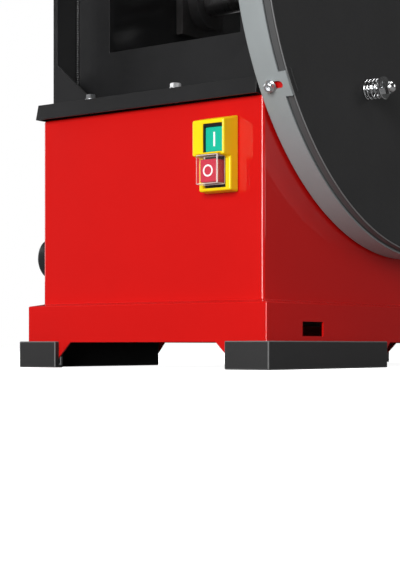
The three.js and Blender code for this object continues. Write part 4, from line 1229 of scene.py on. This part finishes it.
@dataclass
class Guard:
    """The round guard: drum with ears, sprung cover, studs, springs and screws."""

    sheet: float = 2.0
    depth: float = 28.0
    sides: int = 480
    ear_reach: float = 8.5
    ear_half: float = 2.25
    ear_angles: tuple[float, ...] = (211.5, 331.5, 91.5)
    slot: Span = (11.0, 29.0)
    slot_width: float = 8.0
    cover_depth: float = 8.4
    cover_radius: float = 327.4
    stud_radius: float = 4.0
    lip_radius: float = 320.0
    seat_gap: float = 0.3
    under_band: float = 0.4
    hub_hole: float = 20.0
    shaft_hole: float = 17.5
    drum_fold: float = 2.5
    dish_fold: float = 2.2
    lug_half: float = 1.8
    lug_thick: float = 3.0
    screw_hole: float = 3.3
    bead: float = 0.8
    washer_radius: float = 12.0
    washer_thick: float = 2.0
    nut_across: float = 13.0
    nut_height: float = 7.0
    dome: tuple[float, float] = (6.0, 5.4)
    thread_step: float = 1.25
    thread_depth: float = 0.5
    wire: float = 1.15
    turns: float = 4.2
    room: Room = field(default_factory=lambda: Room.of("guard_drum"))

    @property
    def radius(self) -> float:
        """The drum's outer radius."""
        return (self.room.high.z - self.room.low.z) / 2

    @property
    def centre(self) -> tuple[float, float]:
        """The drum's axis."""
        return self.room.mid.y, self.room.mid.z

    @property
    def cover_back(self) -> float:
        """The cover's rear edge, just clear of the drum."""
        return self.room.low.x + self.depth + self.seat_gap

    @property
    def screw_x(self) -> float:
        """The screws' place in their slots with the cover seated."""
        return self.room.low.x + self.slot[0] + self.slot_width / 2

    def drum(self) -> bpy.types.Object:
        """The ring and its back plate, with ears that reach past the cover."""
        back, outer = self.room.low.x, self.radius
        front, inner, floor = back + self.depth, outer - self.sheet, back + self.sheet
        hole, fold = self.hub_hole, self.drum_fold
        bend = arc(fold, (outer - fold, back + fold), (-60, 0), 3)
        section = [(hole, back), (outer - fold, back), *bend, (outer, front), (inner, front), (inner, floor),
                   (hole, floor)]
        piece = lathe("guard_drum_piece", section, Axis.X, self.centre, self.sides)
        for angle in self.ear_angles:
            ends = (front - 2, front + self.ear_reach)
            band = [(inner, ends[0]), (outer, ends[0]), (outer, ends[1]), (inner, ends[1])]
            arms = (angle - self.ear_half, angle + self.ear_half)
            shape(piece, Cut.WITH, lathe("ear", band, Axis.X, self.centre, 6, arms))
        half = self.slot_width / 2
        a, b = back + self.slot[0] + half, back + self.slot[1] - half
        rounds = arc(half, (b, 0), (-90, 90), 10) + arc(half, (a, 0), (90, 270), 10)
        outline = [(x, y + self.centre[1]) for x, y in rounds]
        for angle in self.ear_angles:
            tool = prism("slot", outline, Axis.Y, (self.centre[0] + inner - 8, self.centre[0] + outer + 8))
            shape(piece, Cut.AWAY, turned(tool, angle, (0, *self.centre)))
        motor = Room.of("motor_shaft").mid
        bore = rod("bore", self.shaft_hole, Axis.X, (motor.y, motor.z), (back - 2, floor + 2))
        shape(piece, Cut.AWAY, bore)
        return rounded(piece, 0.45, 2, 50.0)

    def cover(self) -> bpy.types.Object:
        """The dished cover, with a pressed lip beside each ear."""
        back, fold = self.cover_back, self.dish_fold
        front, face = back + self.cover_depth, back + self.cover_depth - self.sheet
        inner, outer = self.cover_radius - self.sheet, self.cover_radius - self.under_band
        section = [(0, face), (inner - 1, face), (inner, face - 1), (inner, back), (outer, back),
                   *arc(fold, (outer - fold, front - fold), (0, 90), 5), (0, front)]
        piece = lathe("guard_cover_piece", section, Axis.X, self.centre, self.sides)
        for y, z in self.studs():
            shape(piece, Cut.AWAY, rod("hole", self.stud_radius + 0.8, Axis.X, (y, z), (face - 2, front + 2),
                                       32))
        dish = rounded(piece, 0.35, 1, 50.0)
        r = self.lip_radius
        lip = [(r - 0.9, front - 1), (r + 0.9, front - 1), (r + 0.5, front + 1.4), (r - 0.5, front + 1.4)]
        lips = [lathe("lip", lip, Axis.X, self.centre, 6, (a - self.ear_half, a + self.ear_half))
                for a in self.ear_angles]
        return gather("guard_cover_piece", [dish, *(shaded(one, wear_and_highlight=1.2) for one in lips)])

    def rim_band(self) -> bpy.types.Object:
        """The cover's smoother outer band."""
        back, outer = self.cover_back, self.cover_radius
        front = back + self.cover_depth - 1.6
        band = [(outer - 1.2, back - 0.1), (outer, back - 0.1), (outer, front), (outer - 1.2, front)]
        return shaded(lathe("cover_band", band, Axis.X, self.centre, self.sides))

    def rim_edge_highlight(self) -> bpy.types.Object:
        """The lighter bead round the cover's front edge: a painted highlight line, partly rubbed paint."""
        front = self.cover_back + self.cover_depth
        bead = arc(self.bead, (self.cover_radius - 1.2, front - 0.9), (0, 315), 7)
        return shaded(lathe("cover_edge", bead, Axis.X, self.centre, self.sides), sharp=60)

    def lugs(self) -> bpy.types.Object:
        """The cover's bent lugs, which the screws hold behind the slots."""
        back, outer = self.cover_back, self.cover_radius
        ends = (self.screw_x - 6, back + 4)
        inner = outer - self.lug_thick
        band = [(inner, ends[0]), (outer, ends[0]), (outer, ends[1]), (inner, ends[1])]
        pieces = []
        for angle in self.ear_angles:
            lug = lathe("lug", band, Axis.X, self.centre, 4, (angle - self.lug_half, angle + self.lug_half))
            through = (self.centre[0] + outer - 20, self.centre[0] + outer + 5)
            hole = rod("hole", self.screw_hole, Axis.Y, (self.screw_x, self.centre[1]), through, 24)
            pieces.append(shape(lug, Cut.AWAY, turned(hole, angle, (0, *self.centre))))
        return shaded(gather("cover_lugs", pieces), wear_and_highlight=0.5)

    def studs(self) -> list[tuple[float, float]]:
        """Where the four studs stand."""
        return [(Room.of(f"cover_stud_{k}").mid.y, Room.of(f"cover_stud_{k}").mid.z) for k in range(1, 5)]

    def stud(self) -> bpy.types.Object:
        """One threaded stud with its washer and domed nut, at its true place along X."""
        room, spring = Room.of("cover_stud_1"), Room.of("cover_spring_1")
        base, seat = room.low.x, spring.high.x + self.seat_gap
        nut, root = seat + self.washer_thick, self.stud_radius - self.thread_depth
        thread = [(0.0, base), (10.0, base), (10.0, base + 2.5), (self.stud_radius, base + 2.5)]
        along = base + 6.0
        while along < nut:
            thread += [(self.stud_radius, along), (root, along + 0.6)]
            along += self.thread_step
        bar = lathe("thread", [*thread, (root, nut + 4), (0.0, nut + 4)], Axis.X, sides=24)
        rim = self.washer_radius
        washer = lathe("washer", [(4.3, seat), (rim - 0.4, seat), (rim, seat + 0.4), (rim, nut - 0.5),
                                  (rim - 0.5, nut), (4.3, nut)], Axis.X, sides=64)
        corner, top = self.nut_across / 2 / math.cos(math.pi / 6), nut + self.nut_height
        hexagon = prism("nut", arc(corner, (0, 0), (12, 312), 5), Axis.X, (nut, top))
        barrel = [(0, nut), (corner - 0.8, nut), (corner + 0.2, nut + 0.8), (corner + 0.2, top - 0.9),
                  (corner - 1.2, top), (0, top)]
        head = shape(hexagon, Cut.COMMON, lathe("barrel", barrel, Axis.X, sides=48))
        wide, rise = self.dome
        bow = [(wide * math.cos(a), top + rise * math.sin(a)) for a in (math.pi / 2 * k / 10
                                                                        for k in range(10))]
        cap = [(0.0, top - 1), (wide, top - 1), *bow, (0.0, top + rise)]
        return shaded(gather("stud", [bar, washer, head, lathe("dome", cap, Axis.X, sides=48)]), sharp=35)

    def screw(self) -> bpy.types.Object:
        """One socket screw on the drum, for a turn of 0 degrees about the guard's axis."""
        seat = self.radius + self.seat_gap
        head = lathe("head", [(0, seat), (5.0, seat), (5.0, seat + 5.3), (4.3, seat + 6), (0, seat + 6)],
                     Axis.Y, (self.screw_x, 0), 40)
        socket = prism("socket", [(self.screw_x + x, z) for x, z in arc(2.9, (0, 0), (0, 300), 5)], Axis.Y,
                       (seat + 3, seat + 8))
        shape(head, Cut.AWAY, socket)
        shank = rod("shank", 3.0, Axis.Y, (self.screw_x, 0), (seat - 12, seat + 0.5), 24)
        washer = lathe("washer", [(3.2, seat - 0.25), (6.2, seat - 0.25), (6.2, seat + 0.6),
                                  (3.2, seat + 0.6)], Axis.Y, (self.screw_x, 0), 40)
        return shaded(gather("screw", [head, shank, washer]), wear_and_highlight=0.6)

    def springs(self) -> bpy.types.Object:
        """The four compression springs."""
        room = Room.of("cover_spring_1")
        first, last = room.span(Axis.X)
        outer = (room.high.z - room.low.z) / 2
        piece = seats("cover_springs", [(first + self.wire, y, z) for y, z in self.studs()])
        grow(piece, "wire_coil", Turns=self.turns, Radius=(outer - self.wire) * MM,
             Length=(last - first - 2 * self.wire) * MM, Wire=self.wire * MM, Closed=0.25,
             Turn=(0.0, math.pi / 2, 0.0), Finish=CHROME.material())
        return piece

    def build(self) -> None:
        """Makes the guard's pieces and gives each, except the springs, its body."""
        dress(self.drum(), GREY_PAINT, "root", ["guard_drum", "guard_back"])
        dress(self.cover(), TEXTURED_BLACK, "cover", ["guard_cover", "cover_rim"])
        dress(self.rim_band(), RIM_BLACK, "cover")
        dress(self.rim_edge_highlight(), RIM_EDGE_HIGHLIGHT, "cover")
        dress(self.lugs(), RED_PAINT, "cover")
        nodes = [f"cover_stud_{k}" for k in range(1, 5)]
        fasten("cover_studs", self.stud(), [(0.0, y, z) for y, z in self.studs()], CHROME, "root", nodes)
        screws = [f"cover_screw_{k}" for k in range(1, 4)]
        spots = [(0.0, *self.centre)] * 3
        fasten("cover_screws", self.screw(), spots, ZINC, "cover", screws, [(angle, 0.0, 0.0)
                                                                            for angle in self.ear_angles])
        springs = finished(self.springs(), CHROME, [f"cover_spring_{k}" for k in range(1, 5)])
        first, last = (end * MM for end in Room.of("cover_spring_1").span(Axis.X))
        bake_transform(springs)


# ---------------------------------------------------------------- beam, ram and tables


@dataclass
class Splitter:
    """The beam, the ram that slides on it, the wedge, the tables and the return springs."""

    wire: float = 1.3
    coil_turns: float = 88.0
    bolt: HexBolt = HexBolt(across=17, shank=5, length=30)

    def build(self) -> None:
        """Makes everything above the pedestal except the lever."""
        soft_copy("beam", BLACK_PAINT, "root", 1.0)
        soft_copy("ram_shoe", RED_PAINT, "ram", 0.9)
        soft_copy("push_plate", RED_PAINT, "ram", 1.2)
        soft_copy("wedge", STEEL_UP, "root", 0.5)
        soft_copy("log_table_left", BLACK_PAINT, "root", 0.9)
        soft_copy("log_table_right", BLACK_PAINT, "root", 0.9)
        soft_copy("rack", STEEL_ALONG, "ram", 0.25, 1)
        wedge = Room.of("wedge")
        nodes = ["wedge_bolt_1", "wedge_bolt_2"]
        spots = [(Room.of(n).mid.x, Room.of(n).mid.y, wedge.low.z + 12) for n in nodes]
        turns = [(0.0, 0.0, 8.0), (0.0, 0.0, -19.0)]
        fasten("wedge_bolts", self.bolt.prototype(), spots, ZINC, "root", nodes, turns)
        self.springs()
        self.welds()

    def springs(self) -> None:
        """The two return springs."""
        nodes = ["return_spring_left", "return_spring_right"]
        room = Room.of(nodes[0])
        first, last = room.span(Axis.Y)
        outer = (room.high.z - room.low.z) / 2
        piece = seats("return_springs", [(Room.of(n).mid.x, first + 14, room.mid.z) for n in nodes])
        grow(piece, "wire_coil", Turns=self.coil_turns, Radius=(outer - self.wire) * MM,
             Length=(last - first - 28) * MM, Wire=self.wire * MM, Closed=0.0, Turn=(-math.pi / 2, 0.0, 0.0),
             Finish=ZINC.material())
        hooks = [self.hook(Room.of(n).mid.x, room.mid.z, end, outer - self.wire) for n in nodes
                 for end in ((first, 1), (last, -1))]
        whole = gather("return_springs_piece", [piece, *hooks])
        finished(shaded(whole, sharp=70), ZINC, nodes)
        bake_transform(whole)

    def hook(self, x: float, z: float, end: tuple[float, int], reach: float) -> bpy.types.Object:
        """A straight eye at one end of a return spring, drawn out to its middle line.

        Args:
            x: The spring's middle across.
            z: The spring's height.
            end: The end's place along the beam, and which way it faces.
            reach: How far it goes across.

        Returns:
            The eye.
        """
        from_y, way = end
        line = [(x, from_y, z), (x, from_y + way * 7, z), (x + reach * 0.5, from_y + way * 11, z),
                (x + reach, from_y + way * 14, z)]
        return tube("hook", line, self.wire)

    def welds(self) -> None:
        """Beads where the ram's plate and the tables' brackets are welded."""
        plate, shoe = Room.of("push_plate"), Room.of("ram_shoe")
        lines = [[(plate.low.x + 6, shoe.high.y + 0.2, plate.low.z), (plate.high.x - 6, shoe.high.y + 0.2,
                                                                      plate.low.z)]]
        beam, wedge = Room.of("beam"), Room.of("wedge")
        sides = [[(wedge.mid.x + side * 23.5, wedge.high.y - 28, wedge.low.z + 12.5),
                  (wedge.mid.x + side * 23.5, wedge.high.y - 1, wedge.low.z + 12.5)] for side in (-1, 1)]
        weld("wedge_welds", sides, 2.4, CAST_IRON, "root")
        weld("ram_welds", [[(x, shoe.low.y + 30, plate.low.z) for x in (plate.mid.x - 6, plate.mid.x + 6)],
                           lines[0]], 1.8, RED_PAINT, "ram")
        ends = [[(beam.mid.x + side * 28.5, y, beam.low.z + 3), (beam.mid.x + side * 28.5, y,
                                                                 beam.high.z - 13)] for side in (-1, 1)
                for y in (beam.low.y + 6.5, beam.high.y - 6.5)]
        weld("beam_welds", ends, 2.0, BLACK_PAINT, "root")


def tube(name: str, line: Sequence[Spot], radius: float, sides: int = 8) -> bpy.types.Object:
    """A round wire along a line of points, closed at both ends.

    Args:
        name: The object's name.
        line: The points along its middle.
        radius: The wire's radius.
        sides: Corners round the wire.

    Returns:
        The wire.
    """
    points: list[Spot] = []
    for k, spot in enumerate(line):
        ahead = Vector(line[min(k + 1, len(line) - 1)]) - Vector(line[max(k - 1, 0)])
        across = ahead.cross(Vector((0, 0, 1))).normalized()
        other = ahead.cross(across).normalized()
        for s in range(sides):
            angle = 2 * math.pi * s / sides
            points.append(tuple(Vector(spot) + (across * math.cos(angle) + other * math.sin(angle)) * radius))
    faces: list[tuple[int, ...]] = [tuple(range(sides)), tuple(range((len(line) - 1) * sides,
                                                                     len(line) * sides))]
    for k in range(len(line) - 1):
        for s in range(sides):
            nxt = (s + 1) % sides
            faces.append((k * sides + s, k * sides + nxt, (k + 1) * sides + nxt, (k + 1) * sides + s))
    return solid(name, points, faces)


@dataclass
class Lever:
    """The engaging lever with its grip and press roller."""

    ribs: int = 12
    rib_pitch: float = 7.5

    def build(self) -> None:
        """Makes the lever, its ribbed grip and the roller."""
        soft_copy("engage_lever", ZINC, "lever", 0.8)
        room = Room.of("lever_grip")
        r, (low, high), middle = (room.high.x - room.low.x) / 2, room.span(Axis.Z), (room.mid.x, room.mid.y)
        section = [(7.3, low), (r - 4, low), (r - 2, low + 2), (r, low + 7), (r - 1, low + 14),
                   (r - 2.4, low + 60), (r - 1.2, high - 30), (r, high - 20), (r - 0.8, high - 10),
                   (r - 4, high - 3), (r - 9, high), (0, high), (0, high - 11), (7.3, high - 11)]
        body = lathe("lever_grip_piece", section, Axis.Z, middle, 48)
        ring = lathe("rib", arc(1.1, (r - 1.9, 0), (0, 315), 7), Axis.Z, sides=48)
        spots = [(*middle, low + 22 + k * self.rib_pitch) for k in range(self.ribs)]
        ribs = seats("ribs", spots)
        grow(ribs, "repeated_part", Part=ring, Finish=RUBBER.material())
        remove(ring)
        dress(shaded(gather("lever_grip_piece", [body, ribs]), sharp=50), RUBBER, "lever", ["lever_grip"])
        roller = Room.of("press_roller")
        outer, (first, last) = (roller.high.z - roller.low.z) / 2, roller.span(Axis.X)
        tread = [(8.1, first), (outer - 0.8, first), (outer, first + 0.8), (outer, last - 0.8),
                 (outer - 0.8, last), (8.1, last)]
        dress(shaded(lathe("press_roller_piece", tread, Axis.X, (roller.mid.y, roller.mid.z), 48), wear_and_highlight=0.9),
              STEEL_ROUND, "roller", ["press_roller"])


# ---------------------------------------------------------------- switch and inlet


@dataclass
class SwitchBox:
    """The yellow switch with its green and red buttons and clear cap."""

    rounding: float = 2.0
    step: float = 36.0
    lower_depth: float = 14.2
    gap: float = 0.5
    start_gap: Span = (1.2, 3.0)
    cap_rise: float = 2.6
    slot_drop: float = 2.2
    brow: float = 6.0
    gap_shade_slack: float = 0.05
    cap_wall: float = 1.2
    mark: float = 0.3
    bar: tuple[float, float] = (2.2, 14.6)
    ring: tuple[float, float] = (6.1, 1.7)

    def housing(self) -> bpy.types.Object:
        """The stepped body with rounded corners and its two button openings."""
        room, start, stop, cap = (Room.of(n) for n in ("switch_housing", "start_button", "stop_button",
                                                       "stop_cap"))
        (front, wall), (low, top) = room.span(Axis.Y), room.span(Axis.Z)
        ledge = wall - self.lower_depth
        profile = [(wall, low), (wall, top), (front, top - self.brow), (front, low + self.step),
                   (ledge, low + self.step - 1), (ledge, low + 1)]
        piece = rounded(prism("switch_housing_piece", profile, Axis.X, room.span(Axis.X)), self.rounding, 4)
        deep = (front - 2, wall + 2)
        for (x, z), depth in ((self.around_start(), deep), (self.around_cap(), (front - 2, ledge + 4)),
                              (self.beside(stop), deep)):
            shape(piece, Cut.AWAY, block("opening", x, depth, z))
        return shaded(piece, wear_and_highlight=0.4, sharp=30)

    def beside(self, room: Room, grow_by: float | None = None) -> tuple[Span, Span]:
        """A button's own space with a gap round it, across and up."""
        gap = self.gap if grow_by is None else grow_by
        return (room.low.x - gap, room.high.x + gap), (room.low.z - gap, room.high.z + gap)

    def around_start(self) -> tuple[Span, Span]:
        """The start button's opening, wider than the button on the left and above."""
        x, z = self.beside(Room.of("start_button"))
        return (x[0] - self.start_gap[0], x[1]), (z[0], z[1] + self.start_gap[1])

    def around_cap(self) -> tuple[Span, Span]:
        """The cap's recess, with a slot below the cap."""
        x, z = self.beside(Room.of("stop_cap"))
        return x, (z[0] - self.slot_drop, z[1] + self.cap_rise)

    def liner(self) -> bpy.types.Object:
        """Black frames in the gaps round the buttons and at the back of the cap's recess: painted shade where
        those gaps are dark.
        """
        front, wall = Room.of("switch_housing").span(Axis.Y)
        start, stop = Room.of("start_button"), Room.of("stop_button")
        floor = wall - self.lower_depth + 4
        frames = []
        slack = self.gap_shade_slack
        upper = (self.around_start(), (front + 1.0, front + 9.0), start)
        lower = (self.around_cap(), (floor - 0.6, floor - 0.1), stop)
        for (x, z), y, room in (upper, lower):
            # Painted shade: black frames fill the gaps, where the real switch is dark.
            seal = block("seal", (x[0] + slack, x[1] - slack), y, (z[0] + slack, z[1] - slack))
            hole = self.beside(room, 0.15)
            frames.append(shape(seal, Cut.AWAY, block("hole", hole[0], (y[0] - 2, y[1] + 2), hole[1])))
        return shaded(gather("switch_seals", frames))

    def cap(self) -> bpy.types.Object:
        """The clear cap over the stop button, open at the back."""
        room, t = Room.of("stop_cap"), self.cap_wall
        x, y, z = (room.span(axis) for axis in Axis)
        z = (z[0], z[1] + self.cap_rise)
        outer = rounded(block("stop_cap_piece", x, y, z), 1.1, 3)
        inner = block("inner", (x[0] + t, x[1] - t), (y[0] + t, y[1] + 5), (z[0] + t, z[1] - t))
        return shaded(shape(outer, Cut.AWAY, inner), wear_and_highlight=1.6, sharp=30)

    def build(self) -> None:
        """Makes the housing, the buttons, their marks and the cap."""
        dress(self.housing(), YELLOW_PLASTIC, "root", ["switch_housing"])
        dress(self.liner(), BLACK_PLASTIC, "root")
        soft_copy("start_button", GREEN_PLASTIC, "start", 0.7, 3)
        soft_copy("stop_button", RED_PLASTIC, "stop", 0.7, 3)
        dress(self.cap(), CLEAR_PLASTIC, "stop", ["stop_cap"])
        start, stop = Room.of("start_button"), Room.of("stop_button")
        wide, tall = self.bar
        across = (start.mid.x - wide / 2, start.mid.x + wide / 2)
        up = (start.mid.z - tall / 2, start.mid.z + tall / 2)
        bar = block("start_mark", across, (start.low.y - self.mark, start.low.y + 0.2), up)
        dress(rounded(bar, 0.25, 2), WHITE_PRINT, "start")
        outer, thick = self.ring
        face = stop.low.y
        section = [(outer - thick, face + 0.2), (outer, face + 0.2), (outer, face - self.mark),
                   (outer - thick, face - self.mark)]
        ring = lathe("stop_mark", section, Axis.Y, (stop.mid.x, stop.mid.z), 64)
        dress(shaded(ring), WHITE_PRINT, "stop")


@dataclass
class Inlet:
    """The recessed plug inlet on the left wall."""

    pin_radius: float = 2.4
    pin_ring: float = 8.5
    pin_angles: tuple[float, ...] = (90.0, 210.0, 330.0)

    def build(self) -> None:
        """Makes the moulded body and its three pins."""
        room = Room.of("power_inlet")
        r, (out, end), middle = (room.high.z - room.low.z) / 2, room.span(Axis.X), (room.mid.y, room.mid.z)
        wall = Room.of("cabinet_shell").low.x + 12.0
        section = [(0, out + 18), (18.4, out + 18), (19, out + 17.4), (19, out + 1.4), (20, out),
                   (r - 2.4, out), (r - 0.7, out + 0.7), (r, out + 2.4), (r, wall - 3), (r - 0.6, wall - 0.3),
                   (17, wall - 0.3), (17, end), (0, end)]
        body = lathe("power_inlet_piece", section, Axis.X, middle, 96)
        across = (middle[0] - 2.5, middle[0] + 2.5)
        key = block("key", (out + 6, out + 18), across, (middle[1] + 15, middle[1] + 20))
        dress(shaded(gather("power_inlet_piece", [body, key]), wear_and_highlight=0.8), BLACK_PLASTIC, "root",
              ["power_inlet"])
        wide = self.pin_radius
        pin = lathe("pin", [(0, 0), (wide, 0), (wide, -10), (wide - 1, -12), (0, -12)], Axis.X, sides=20)
        spots = [(out + 18.2, middle[0] + self.pin_ring * math.cos(math.radians(a)),
                  middle[1] + self.pin_ring * math.sin(math.radians(a))) for a in self.pin_angles]
        fasten("inlet_pins", shaded(pin), spots, BRASS, "root")


# ---------------------------------------------------------------- studio


@dataclass
class Studio:
    """A pale floor, soft lights and the camera."""

    azimuth: float = 37.0
    camera_at: Spot = (960.0, -1538.2, 24.0)
    lens: float = 92.1
    rise: float = 0.1068
    bounce: float = 0.2
    fill: float = 0.12
    mirrored: float = 0.05
    glow: float = 0.95
    floor_half: float = 9000.0
    sensor: float = 36.0
    clip: tuple[float, float] = (0.05, 60.0)
    aim: Spot = (0.0, 0.0, 300.0)
    lamps: tuple[tuple[str, Spot, tuple[float, float], float], ...] = (
        ("key", (880.0, -3050.0, 700.0), (1500.0, 1900.0), 118.0),
        ("side", (3000.0, 1700.0, 1200.0), (1600.0, 1600.0), 17.0),
        ("above", (0.0, 0.0, 3200.0), (2200.0, 2200.0), 80.0),
        ("left", (-2700.0, -700.0, 1000.0), (1600.0, 1600.0), 26.0),
        ("behind", (-1500.0, 2900.0, 1200.0), (1600.0, 1600.0), 40.0),
    )

    def floor(self) -> None:
        """A broad pale floor."""
        half = self.floor_half
        corners = [(-half, -half, 0), (half, -half, 0), (half, half, 0), (-half, half, 0)]
        floor = solid("floor", corners, [(0, 1, 2, 3)], closed=False)
        made = bpy.data.materials.new("pale_floor")
        made.use_nodes = True
        wires = Wiring(made.node_tree)
        made.node_tree.nodes.clear()
        place = wires.add("ShaderNodeTexCoord").outputs["Object"]
        speck = wires.add("ShaderNodeTexNoise", {"Vector": place, "Scale": 3.0}).outputs["Fac"]
        shader = wires.add("ShaderNodeBsdfPrincipled", {
            "Base Color": wires.mix(speck, (0.8, 0.8, 0.8), (0.84, 0.84, 0.84)), "Roughness": 0.9,
            "Specular IOR Level": 0.0})
        glow = wires.add("ShaderNodeEmission", {"Strength": self.glow})
        seen = wires.add("ShaderNodeLightPath").outputs["Is Camera Ray"]
        bright = wires.add("ShaderNodeAddShader", {0: shader.outputs[0], 1: glow.outputs[0]})
        dim = wires.add("ShaderNodeBsdfDiffuse", {"Color": (self.bounce, self.bounce, self.bounce, 1)})
        both = wires.add("ShaderNodeMixShader", {0: seen, 1: dim.outputs[0], 2: bright.outputs[0]})
        wires.add("ShaderNodeOutputMaterial", {"Surface": both.outputs[0]})
        floor.data.materials.append(made)

    def sky(self) -> None:
        """White behind the object and soft grey light on it."""
        world = bpy.data.worlds.new("studio")
        world.use_nodes = True
        world.node_tree.nodes.clear()
        wires = Wiring(world.node_tree)
        white = wires.add("ShaderNodeBackground", {"Color": (1, 1, 1, 1), "Strength": 1.0})
        path = wires.add("ShaderNodeLightPath")
        level = wires.blend(path.outputs["Is Glossy Ray"], self.fill, self.mirrored)
        grey = wires.add("ShaderNodeBackground", {"Color": (1, 1, 1, 1), "Strength": level})
        both = wires.add("ShaderNodeMixShader", {0: path.outputs["Is Camera Ray"], 1: grey.outputs[0],
                                                 2: white.outputs[0]})
        wires.add("ShaderNodeOutputWorld", {"Surface": both.outputs[0]})
        bpy.context.scene.world = world

    def lamp(self, name: str, at: Spot, size: tuple[float, float], power: float) -> None:
        """One soft rectangular light, in millimetres and watts.

        Args:
            name: The light's name.
            at: Where it stands.
            size: Its width and height.
            power: Its power.
        """
        data = bpy.data.lights.new(name, "AREA")
        data.shape, data.size, data.size_y, data.energy = "RECTANGLE", size[0] * MM, size[1] * MM, power
        lamp = bpy.data.objects.new(name, data)
        lamp.location = Vector(at) * MM
        lamp.rotation_euler = (Vector(self.aim) - Vector(at)).to_track_quat("-Z", "Y").to_euler()
        bpy.context.scene.collection.objects.link(lamp)

    def camera(self) -> None:
        """The camera, level, at the viewing angle."""
        data = bpy.data.cameras.new("camera")
        data.lens, data.sensor_width, data.shift_y = self.lens, self.sensor, self.rise
        data.clip_start, data.clip_end = self.clip
        camera = bpy.data.objects.new("camera", data)
        camera.location = Vector(self.camera_at) * MM
        camera.rotation_euler = (math.radians(90), 0.0, math.radians(self.azimuth))
        bpy.context.scene.collection.objects.link(camera)
        bpy.context.scene.camera = camera

    def build(self) -> None:
        """Makes the floor, the sky, the lights and the camera."""
        self.floor()
        self.sky()
        for lamp in self.lamps:
            self.lamp(*lamp)
        self.camera()
        bpy.context.scene.view_settings.view_transform = "Standard"


def main() -> None:
    """Builds the log splitter and its studio."""
    logging.basicConfig(level=logging.INFO, format="%(message)s")
    EFFECTS.update(surface_grain=grain_effect(), edge_wear=wear_and_highlight_effect(), settled_dust=dust_effect(),
                   tool_lines=brushed_effect())
    GROWERS.update(repeated_part=repeat_tree(), wire_coil=coil_tree(), weld_bead=weld_tree())
    Studio().build()
    for part in (Cabinet(), Feet(), Deck(), Pedestal(), Drive(), Guard(), Splitter(), Lever(), SwitchBox(),
                 Inlet()):
        part.build()
        log.info("%s built", type(part).__name__)


if __name__ == "__main__":
    main()
